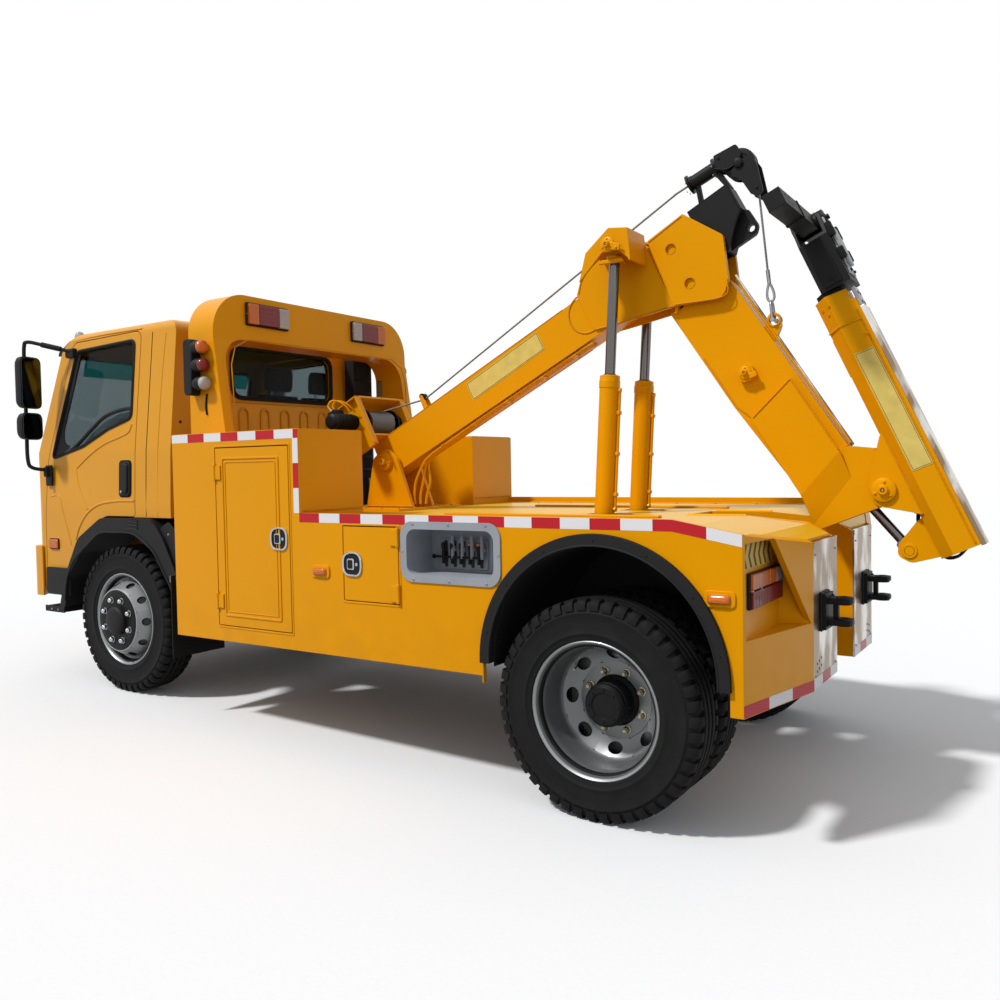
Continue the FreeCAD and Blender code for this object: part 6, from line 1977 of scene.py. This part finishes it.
class TRUCK_OT_cylinders(bpy.types.Operator):
    """Glands, ports and wipers of the lifting and tilting cylinders"""
    bl_idname = "truck.cylinders"
    bl_label = "Cylinders"

    def execute(self, context):
        s = Shape(LIFT)
        for side in (-1, 1):
            y = side * LIFT_Y
            s.lathe([(54.5, 772), (57, 774), (57, 812), (54.5, 814), (54.5, 828), (50, 838), (44, 842),
                     (34, 842), (29, 838)], (0, y, 0), (1, 0, 0), "body_paint", 48)
            s.lathe([(28.8, 838), (34, 839), (34, 846), (29, 848)], (0, y, 0), (1, 0, 0), "seal_rubber", 40,
                    True)
            s.tube([(120, y, -62), (740, y, -62), (770, y, -58)], 9, "body_paint", 10)
            for a in (120, 760):
                s.disc((a, y, -50), (0, 0, -1), 15, 20, "body_paint", 6)
            for a in (200, 420, 640):
                s.slab(a - 10, a + 10, y - 14, y + 14, -74, -50, "body_paint", 3)
        s.piece("lift_barrel_detail", "lift_barrels", "body_paint")
        s = Shape(LIFT)
        reach = math.dist(LIFT_FOOT, LIFT_EYE)
        for side in (-1, 1):
            y = side * LIFT_Y
            s.lathe([(29, reach - 70), (40, reach - 62), (44, reach - 46)], (0, y, 0), (1, 0, 0),
                    "body_paint", 36)
            s.lathe([(30, -33), (48.5, -32), (50, -28), (50, 28), (48.5, 32), (30, 33)], (reach, y, 0),
                    (0, 1, 0), "body_paint", 40)
            s.disc((reach - 52, y, 38), (-0.4, 0, 1), 5, 10, "zinc_bolt", 12)
        s.piece("lift_eye_detail", "lift_rods", "body_paint")
        s = Shape(TILT)
        s.lathe([(36.4, 600), (40, 602), (40, 670), (36.4, 672), (36.4, 684), (31, 692), (24, 692)],
                (0, 0, 0), (1, 0, 0), "black_steel", 40)
        s.tube([(60, 0, 44), (600, 0, 44), (640, 0, 40)], 7, "bright_steel", 10)
        for a in (60, 630):
            s.disc((a, 0, 32), (0, 0, 1), 12, 18, "bright_steel", 6)
        s.piece("tilt_barrel_detail", "tilt_barrel", "black_steel")
        s = Shape(TILT)
        reach = math.dist(TILT_TOP, TILT_EYE)
        s.lathe([(23.4, reach - 66), (34, reach - 58), (38, reach - 40)], (0, 0, 0), (1, 0, 0), "cast_iron",
                36)
        for side in (-1, 1):
            s.lathe([(24, 25), (41, 25), (38, 29), (26, 29)], (reach, 0, 0), (0, side, 0), "cast_iron", 36,
                    True)
        s.piece("tilt_eye_detail", "tilt_rod", "black_steel")
        return {"FINISHED"}


# ---------------------------------------------------------------- underlift

class TRUCK_OT_underlift(bpy.types.Operator):
    """Stainless cover, blank plate, pivot bosses, welds and hoses on the underlift"""
    bl_idname = "truck.underlift"
    bl_label = "Underlift"

    def execute(self, context):
        s = Shape(ARM)
        s.slab(-399, 846, -61, 61, -288.5, -267.5, "stainless", 2)
        s.slab(835, 952, -52, 52, -284, -266, "bright_steel", 3)
        # painted shade: the end plate's holes are drawn as dark discs
        for k in range(2):
            for y in (-26, 26):
                s.disc((868 + 50 * k, y, -284), (0, 0, -1), 8, 3, "cast_iron", 20)
        facet = Vector((0, 53, -97)).normalized()
        outward = Vector((0, -97, -53)).normalized()
        for side in (-1, 1):
            def laid_out(a, b, d, side=side):
                p = Vector((0, -115, -151)) + facet * b + outward * d
                return (a, p.y * -side, p.z)
            outline = rounded([(25, 4, 7), (640, 4, 7), (640, 105, 7), (25, 105, 7)])
            s.loops([[laid_out(a, b, d) for a, b in outline] for d in (0.2, 1.8)], "plate_gold")
            outer, inner = shrunk(outline, 4.5), shrunk(outline, 6.5)
            rings = [(outer, 1.7), (outer, 2.1), (inner, 2.1), (inner, 1.7)]
            s.loops([[laid_out(a, b, d) for a, b in ring] for ring, d in rings], "plate_line", closed=True)
            edge = Vector((0, side * 63, -249))
            bead = []
            for i in range(88):
                a = -380 + i * 14
                bead.append(edge + Vector((a, 2.0 * (i % 2) * side, -1.6 * (i % 2))))
            s.tube(bead, 4.2, "weld_paint", 6)
            cheek = [(-172, -110), (-150, -76), (-58, 57), (0, 67), (60, 49), (238, -88), (258, -112)]
            s.tube([(a, side * 79, b) for a, b in cheek[:2]], 4, "weld_paint", 6)
            s.tube([(a, side * 79.5, -108) for a in range(-170, 256, 12)], 4.6, "weld_paint", 6)
            pin_end(s, (0, side * 90, 0), (0, side, 0), 56)
            s.lathe([(22.5, 0), (22.5, 6), (34, 6), (36, 0)], TILT_PIN + Vector((0, side * 44, 0)),
                    (0, side, 0), "body_paint", 36)
            s.slab(700, 716, side * 66 - 20, side * 66 + 20, -252, -246, "body_paint", 2)
            for a, b in ((905, -112), (905, -150), (870, -132)):
                s.disc((a, side * (115 - 53 * (b + 151) / 61), b), (0, side, 0.86), 9, 3, "weld_paint", 20)
            s.tube([(790, side * 64, -90), (790, side * 116, -151), (790, side * 63, -249)], 5, "body_paint",
                   6)
        s.tube([TILT_PIN + Vector((0, -50, 0)), TILT_PIN + Vector((0, 50, 0))], 21, "body_paint", 28)
        s.slab(560, 760, -40, 40, -92, -84, "body_paint", 3)
        s.slab(-389, -386, -62, 62, -242, -96, "body_paint", 1)
        for k, y in enumerate((-20, 8)):
            s.tube(curved([(-150, y, -84), (-210, y * 1.2, -62), (-320, y * 1.5, -76), (-392, y * 1.4, -104),
                           (-408, y * 1.2, -150), (-390, y, -196)], 7), 7, "hose_rubber", 12)
        s.piece("underlift_detail", "underlift", "body_paint")

        s = Shape(ARM)
        rear = -215 - 78
        s.slab(1010, 1330, -52, 52, rear - 10, rear + 1, "grey_casting", 3)
        s.prism("z", [(1060, -40, 8), (1200, -66, 20), (1270, -50, 20), (1270, 50, 20), (1200, 66, 20),
                      (1060, 40, 8)], rear - 26, rear - 9, "grey_casting", 4)
        for a, y in ((1030, -36), (1030, 36), (1310, -36), (1310, 36)):
            s.bolt((a, y, rear - 10), (0, 0, -1), 11, "black_steel")
        for a, b in ((1090, 1150), (1215, 1290)):
            s.slab(a, b, -84, -56, rear - 30, rear + 4, "black_steel", 5)
            s.slab(a, b, 56, 84, rear - 30, rear + 4, "black_steel", 5)
        s.disc((1334, 0, rear), (0, 0, -1), 48, 12, "black_steel", 40)
        s.bolt((1334, 0, rear - 12), (0, 0, -1), 22, "black_steel")
        s.disc((1334, 0, -145), (0, 0, 1), 46, 6, "black_steel", 40)
        for side in (-1, 1):
            s.slab(990, 1230, side * 108, side * 114, -260, -170, "black_steel", 3)
            for a in (1020, 1200):
                s.bolt((a, side * 114, -215), (0, side, 0), 12, "black_steel")
        s.piece("underlift_head_detail", "underlift_slide", "black_steel")

        s = Shape(ARM)
        for side in (-1, 1):
            y = side * 591
            s.prism("y", block(1334 - 42, 1334 + 42, -257, -173, 6), y - side * 4, y + side * 2,
                    "black_steel", 1)
            for a in (1316, 1352):
                for k in range(2):
                    s.disc((a, side * (520 - 60 * k), -257), (0, 0, -1), 8, 1.2, "dash_plastic", 20, 0.3)
                    s.disc((a, side * (520 - 60 * k), -173), (0, 0, 1), 8, 1.2, "dash_plastic", 20, 0.3)
            s.slab(1288, 1380, side * 300 - 10, side * 300 + 10, -262, -168, "black_steel", 3)
        s.piece("cross_bar_detail", "cross_bar", "black_steel")
        return {"FINISHED"}


TILT_PIN = ARM.inverted() @ Vector((TILT_EYE[0], 0, TILT_EYE[1]))


# ---------------------------------------------------------------- chassis and gantry

class TRUCK_OT_chassis(bpy.types.Operator):
    """Spring clips, straps, tank caps, exhaust and lines under the body"""
    bl_idname = "truck.chassis"
    bl_label = "Chassis"

    def execute(self, context):
        s = Shape()
        for side in (-1, 1):
            y = side * 390
            for x, z in ((FRONT_AXLE[0], FRONT_AXLE[1] - 5), (REAR_AXLE[0], REAR_AXLE[1] + 64)):
                for dx in (-60, 60):
                    for dy in (-46, 46):
                        s.tube([(x + dx, y + dy, z - 60), (x + dx, y + dy, z + 120)], 9, "cast_iron", 10)
                        s.disc((x + dx, y + dy, z - 66), (0, 0, 1), 15, 14, "cast_iron", 6)
                s.slab(x - 78, x + 78, y - 58, y + 58, z + 102, z + 116, "cast_iron", 3)
            for x in (-860, -400, 300, 900, 1500, 2100, 2700, 3300, 3900):
                s.bolt((x, side * 430, 860), (0, side, 0), 10, "cast_iron")
                s.bolt((x + 60, side * 430, 800), (0, side, 0), 10, "cast_iron")
            s.tube([(-700, side * 446, 952), (4100, side * 446, 952)], 6, "hose_rubber", 8)
        for x in (1160, 1540):
            s.slab(x - 20, x + 20, 446, 664, 636, 640, "black_steel", 1)
            s.prism("x", [(446, 636), (664, 636), (664, 958), (446, 958), (450, 954), (660, 954), (660, 640),
                          (450, 640)], x - 20, x + 20, "black_steel", 0)
        s.disc((1600, 560, 955), (0, 0, 1), 44, 34, "black_plastic", 32, 6)
        for x in (1090, 1350, 1610):
            s.lathe([(106, -12), (108, -8), (108, 8), (106, 12)], (x, -560, 800), (1, 0, 0), "black_steel",
                    40, True)
        for k in range(2):
            s.disc((1200 + 200 * k, -560, 904), (0, 0, 1), 14, 16, "zinc_bolt", 6)
        s.tube(curved([(600, 220, 720), (1000, 250, 700), (1700, 250, 700), (2000, 250, 690)], 5), 38,
               "cast_iron", 20)
        s.lathe([(40, 0), (92, 20), (96, 40), (96, 560), (92, 580), (40, 600)], (2000, 250, 690), (1, 0, 0),
                "cast_iron", 40)
        s.tube(curved([(2600, 250, 690), (2750, 300, 680), (2900, 560, 640), (2920, 760, 620)], 6), 34,
               "cast_iron", 20)
        for x in (-80, 60, 200, 340, 480):
            s.slab(x, x + 24, -306, 306, 660, 1100, "cast_iron", 6)
        s.lathe([(60, 0), (150, 10), (150, 30), (60, 40)], (-160, 0, 940), (1, 0, 0), "cast_iron", 40)
        for k in range(6):
            t = math.pi * k / 3
            s.prism("x", [(20 * math.cos(t), 940 + 20 * math.sin(t)),
                          (210 * math.cos(t), 940 + 210 * math.sin(t)),
                          (210 * math.cos(t + 0.35), 940 + 210 * math.sin(t + 0.35))], -200, -190,
                    "black_plastic", 1)
        s.slab(-310, -240, -330, 330, 700, 1210, "cast_iron", 8)
        s.piece("chassis_detail", "truck", "chassis_steel")
        return {"FINISHED"}


class TRUCK_OT_gantry(bpy.types.Operator):
    """Mesh screen, seams and base plates of the arch behind the cab"""
    bl_idname = "truck.gantry"
    bl_label = "Arch behind the cab"

    def execute(self, context):
        s = Shape()
        for side in (-1, 1):
            rows = [[(700 + (16 if k else 0), side * 851, z), (760 + (16 if k else 0), side * 851, z)]
                    for k, z in ((0, 1800), (0, 2100), (0, 2400))]
            s.sheet(rows if side > 0 else rows[::-1], 2, "grille_mesh")
            s.slab(690, 1030, side * 927 - 14, side * 927 + 14, CABINET_TOP, CABINET_TOP + 8, "body_paint", 2)
            s.slab(690, 1030, side * 853 - 14, side * 853 + 14, CABINET_TOP, CABINET_TOP + 8, "body_paint", 2)
            for x in (720, 870, 1000):
                s.bolt((x, side * 890, CABINET_TOP + 0.5), (0, 0, 1), 10, "body_paint")
            s.tube(curved([(860, side * 928, 2060), (850, side * 930, 1990), (856, side * 930, 1930)], 4), 7,
                   "hose_rubber", 8)
        s.slab(980, 1010, -640, -420, CABINET_TOP - 480, CABINET_TOP - 470, "body_paint", 2)
        half = [(846, 1800), (846, 2240), (810, 2350), (700, 2408)]
        hoop = [(-y, z) for y, z in half] + [(0, 2412)] + half[::-1]
        s.tube([(1041 - 0.0583 * (z - CABINET_TOP) - 18, y, z) for y, z in hoop], 4, "weld_paint", 6)
        s.piece("gantry_detail", "truck", "body_paint")
        s = Shape()
        for side in (-1, 1):
            rear = CABINET_REAR["left" if side < 0 else "right"]
            y0, y1 = sorted((side * (SIDE_Y - 8), side * 688))
            ring_frame(s, "z", block(CABINET_FRONT + 4, rear - 4, y0, y1, 8),
                       block(CABINET_FRONT + 16, rear - 16, y0 + 12, y1 - 12, 6), CABINET_TOP - 0.3,
                       CABINET_TOP + 3, "body_paint", 1.2)
            for k in range(3):
                s.bolt((1100 + 260 * k, side * 720, CABINET_TOP + 1), (0, 0, 1), 9, "zinc_bolt")
            s.tube([(rear + 3, side * 1160, 1352), (rear + 3, side * 700, 1352)], 6, "weld_paint", 6)
            s.tube([(1440, side * 122, 1330), (1830, side * 122, 1330)], 5, "weld_paint", 6)
        for k in range(4):
            s.bolt((1420 + 140 * k, -280, 1321), (0, 0, 1), 11, "body_paint")
            s.bolt((1420 + 140 * k, 280, 1321), (0, 0, 1), 11, "body_paint")
        s.piece("deck_front_detail", "truck", "body_paint")
        return {"FINISHED"}


# ---------------------------------------------------------------- stage

def looked_at(graph):
    """1 for rays from the camera, reflections and glass, 0 for the light that falls on the truck."""
    path = graph.node("ShaderNodeLightPath")
    camera, glossy, through = (Value(graph, path.outputs[name]) for name in
                               ("Is Camera Ray", "Is Glossy Ray", "Is Transmission Ray"))
    return camera.maths("MAXIMUM", camera, glossy.maths("MAXIMUM", glossy, through))


class TRUCK_OT_stage(bpy.types.Operator):
    """Floor, light and camera"""
    bl_idname = "truck.stage"
    bl_label = "Stage"

    def execute(self, context):
        scene = context.scene
        stage = scene.truck_stage
        mesh = bpy.data.meshes.new("floor")
        mesh.from_pydata([(-40, -40, 0), (40, -40, 0), (40, 40, 0), (-40, 40, 0)], [], [(0, 1, 2, 3)])
        floor = bpy.data.objects.new("floor", mesh)
        scene.collection.objects.link(floor)
        g = Graph("floor_grey")
        speckle = g.noise(60.0, 4.0)
        seen = g.mixed(speckle, (0.76, 0.76, 0.76), (0.82, 0.82, 0.82))
        mesh.materials.append(g.surface({"Base Color": g.mixed(looked_at(g), (0.3, 0.29, 0.28), seen),
                                         "Roughness": 0.9, "Specular IOR Level": 0.1,
                                         "Normal": g.bump(speckle, 0.05, 0.002)}))
        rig.stage(floor)
        world = bpy.data.worlds.new("sky")
        scene.world = world
        world.use_nodes = True
        g = Graph(world)
        sky = g.node("ShaderNodeBackground", {}, {0: (0.93, 0.96, 1.0), 1: stage.sky}).outputs[0]
        white = g.node("ShaderNodeBackground", {}, {0: (1.0, 1.0, 1.0), 1: 1.0}).outputs[0]
        both = g.node("ShaderNodeMixShader", {}, {0: looked_at(g), 1: sky, 2: white}).outputs[0]
        g.node("ShaderNodeOutputWorld", {}, {0: both})
        for name, strength, angle, direction in (("sun", stage.sun, 5.0, (0.40, 0.60, -0.85)),
                                                 ("fill", stage.fill, 40.0, (-0.8, 0.5, -0.5))):
            lamp = bpy.data.lights.new(name, "SUN")
            lamp.energy, lamp.angle = strength, math.radians(angle)
            holder = bpy.data.objects.new(name, lamp)
            holder.rotation_euler = Vector(direction).to_track_quat("-Z", "Y").to_euler()
            scene.collection.objects.link(holder)
            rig.stage(holder)
        camera = bpy.data.cameras.new("camera")
        camera.lens, camera.sensor_width = stage.focal, 36
        holder = bpy.data.objects.new("camera", camera)
        yaw, pitch, roll = (math.radians(angle) for angle in CAMERA_TURN)
        turned = Matrix.Rotation(yaw, 4, "Z") @ Matrix.Rotation(math.pi / 2 - pitch, 4, "X")
        holder.matrix_world = Matrix.Translation(CAMERA_AT) @ turned @ Matrix.Rotation(roll, 4, "Z")
        scene.collection.objects.link(holder)
        scene.camera = holder
        scene.view_settings.view_transform = "Standard"
        return {"FINISHED"}


STEPS = [cls for name, cls in list(globals().items()) if name.startswith("TRUCK_OT_")]


class TRUCK_PT_panel(bpy.types.Panel):
    """Lists the steps in the 3D view's sidebar"""
    bl_idname = "TRUCK_PT_panel"
    bl_label = "Tow truck"
    bl_space_type = "VIEW_3D"
    bl_region_type = "UI"
    bl_category = "Tow truck"

    def draw(self, context):
        for group in ("truck_colours", "truck_sizes", "truck_stage"):
            settings = getattr(context.scene, group)
            for key in settings.bl_rna.properties.keys():
                if key not in ("rna_type", "name"):
                    self.layout.prop(settings, key)
        for step in STEPS:
            self.layout.operator(step.bl_idname)


GROUPS = {"truck_colours": TruckColours, "truck_sizes": TruckSizes, "truck_stage": TruckStage}


def register():
    for name, group in GROUPS.items():
        bpy.utils.register_class(group)
        setattr(bpy.types.Scene, name, PointerProperty(type=group))
    for cls in STEPS + [TRUCK_PT_panel]:
        bpy.utils.register_class(cls)


def unregister():
    for cls in [TRUCK_PT_panel] + STEPS[::-1]:
        bpy.utils.unregister_class(cls)
    for name, group in GROUPS.items():
        delattr(bpy.types.Scene, name)
        bpy.utils.unregister_class(group)


def main():
    register()
    make_looks()
    for step in STEPS:
        getattr(bpy.ops.truck, step.bl_idname.split(".")[1])()
    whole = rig.bounds()
    json.dump({"cad": [list(corner) for corner in FRAME_BOX], "whole": [list(corner) for corner in whole]},
              open("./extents.json", "w"))


if __name__ == "__main__":
    main()
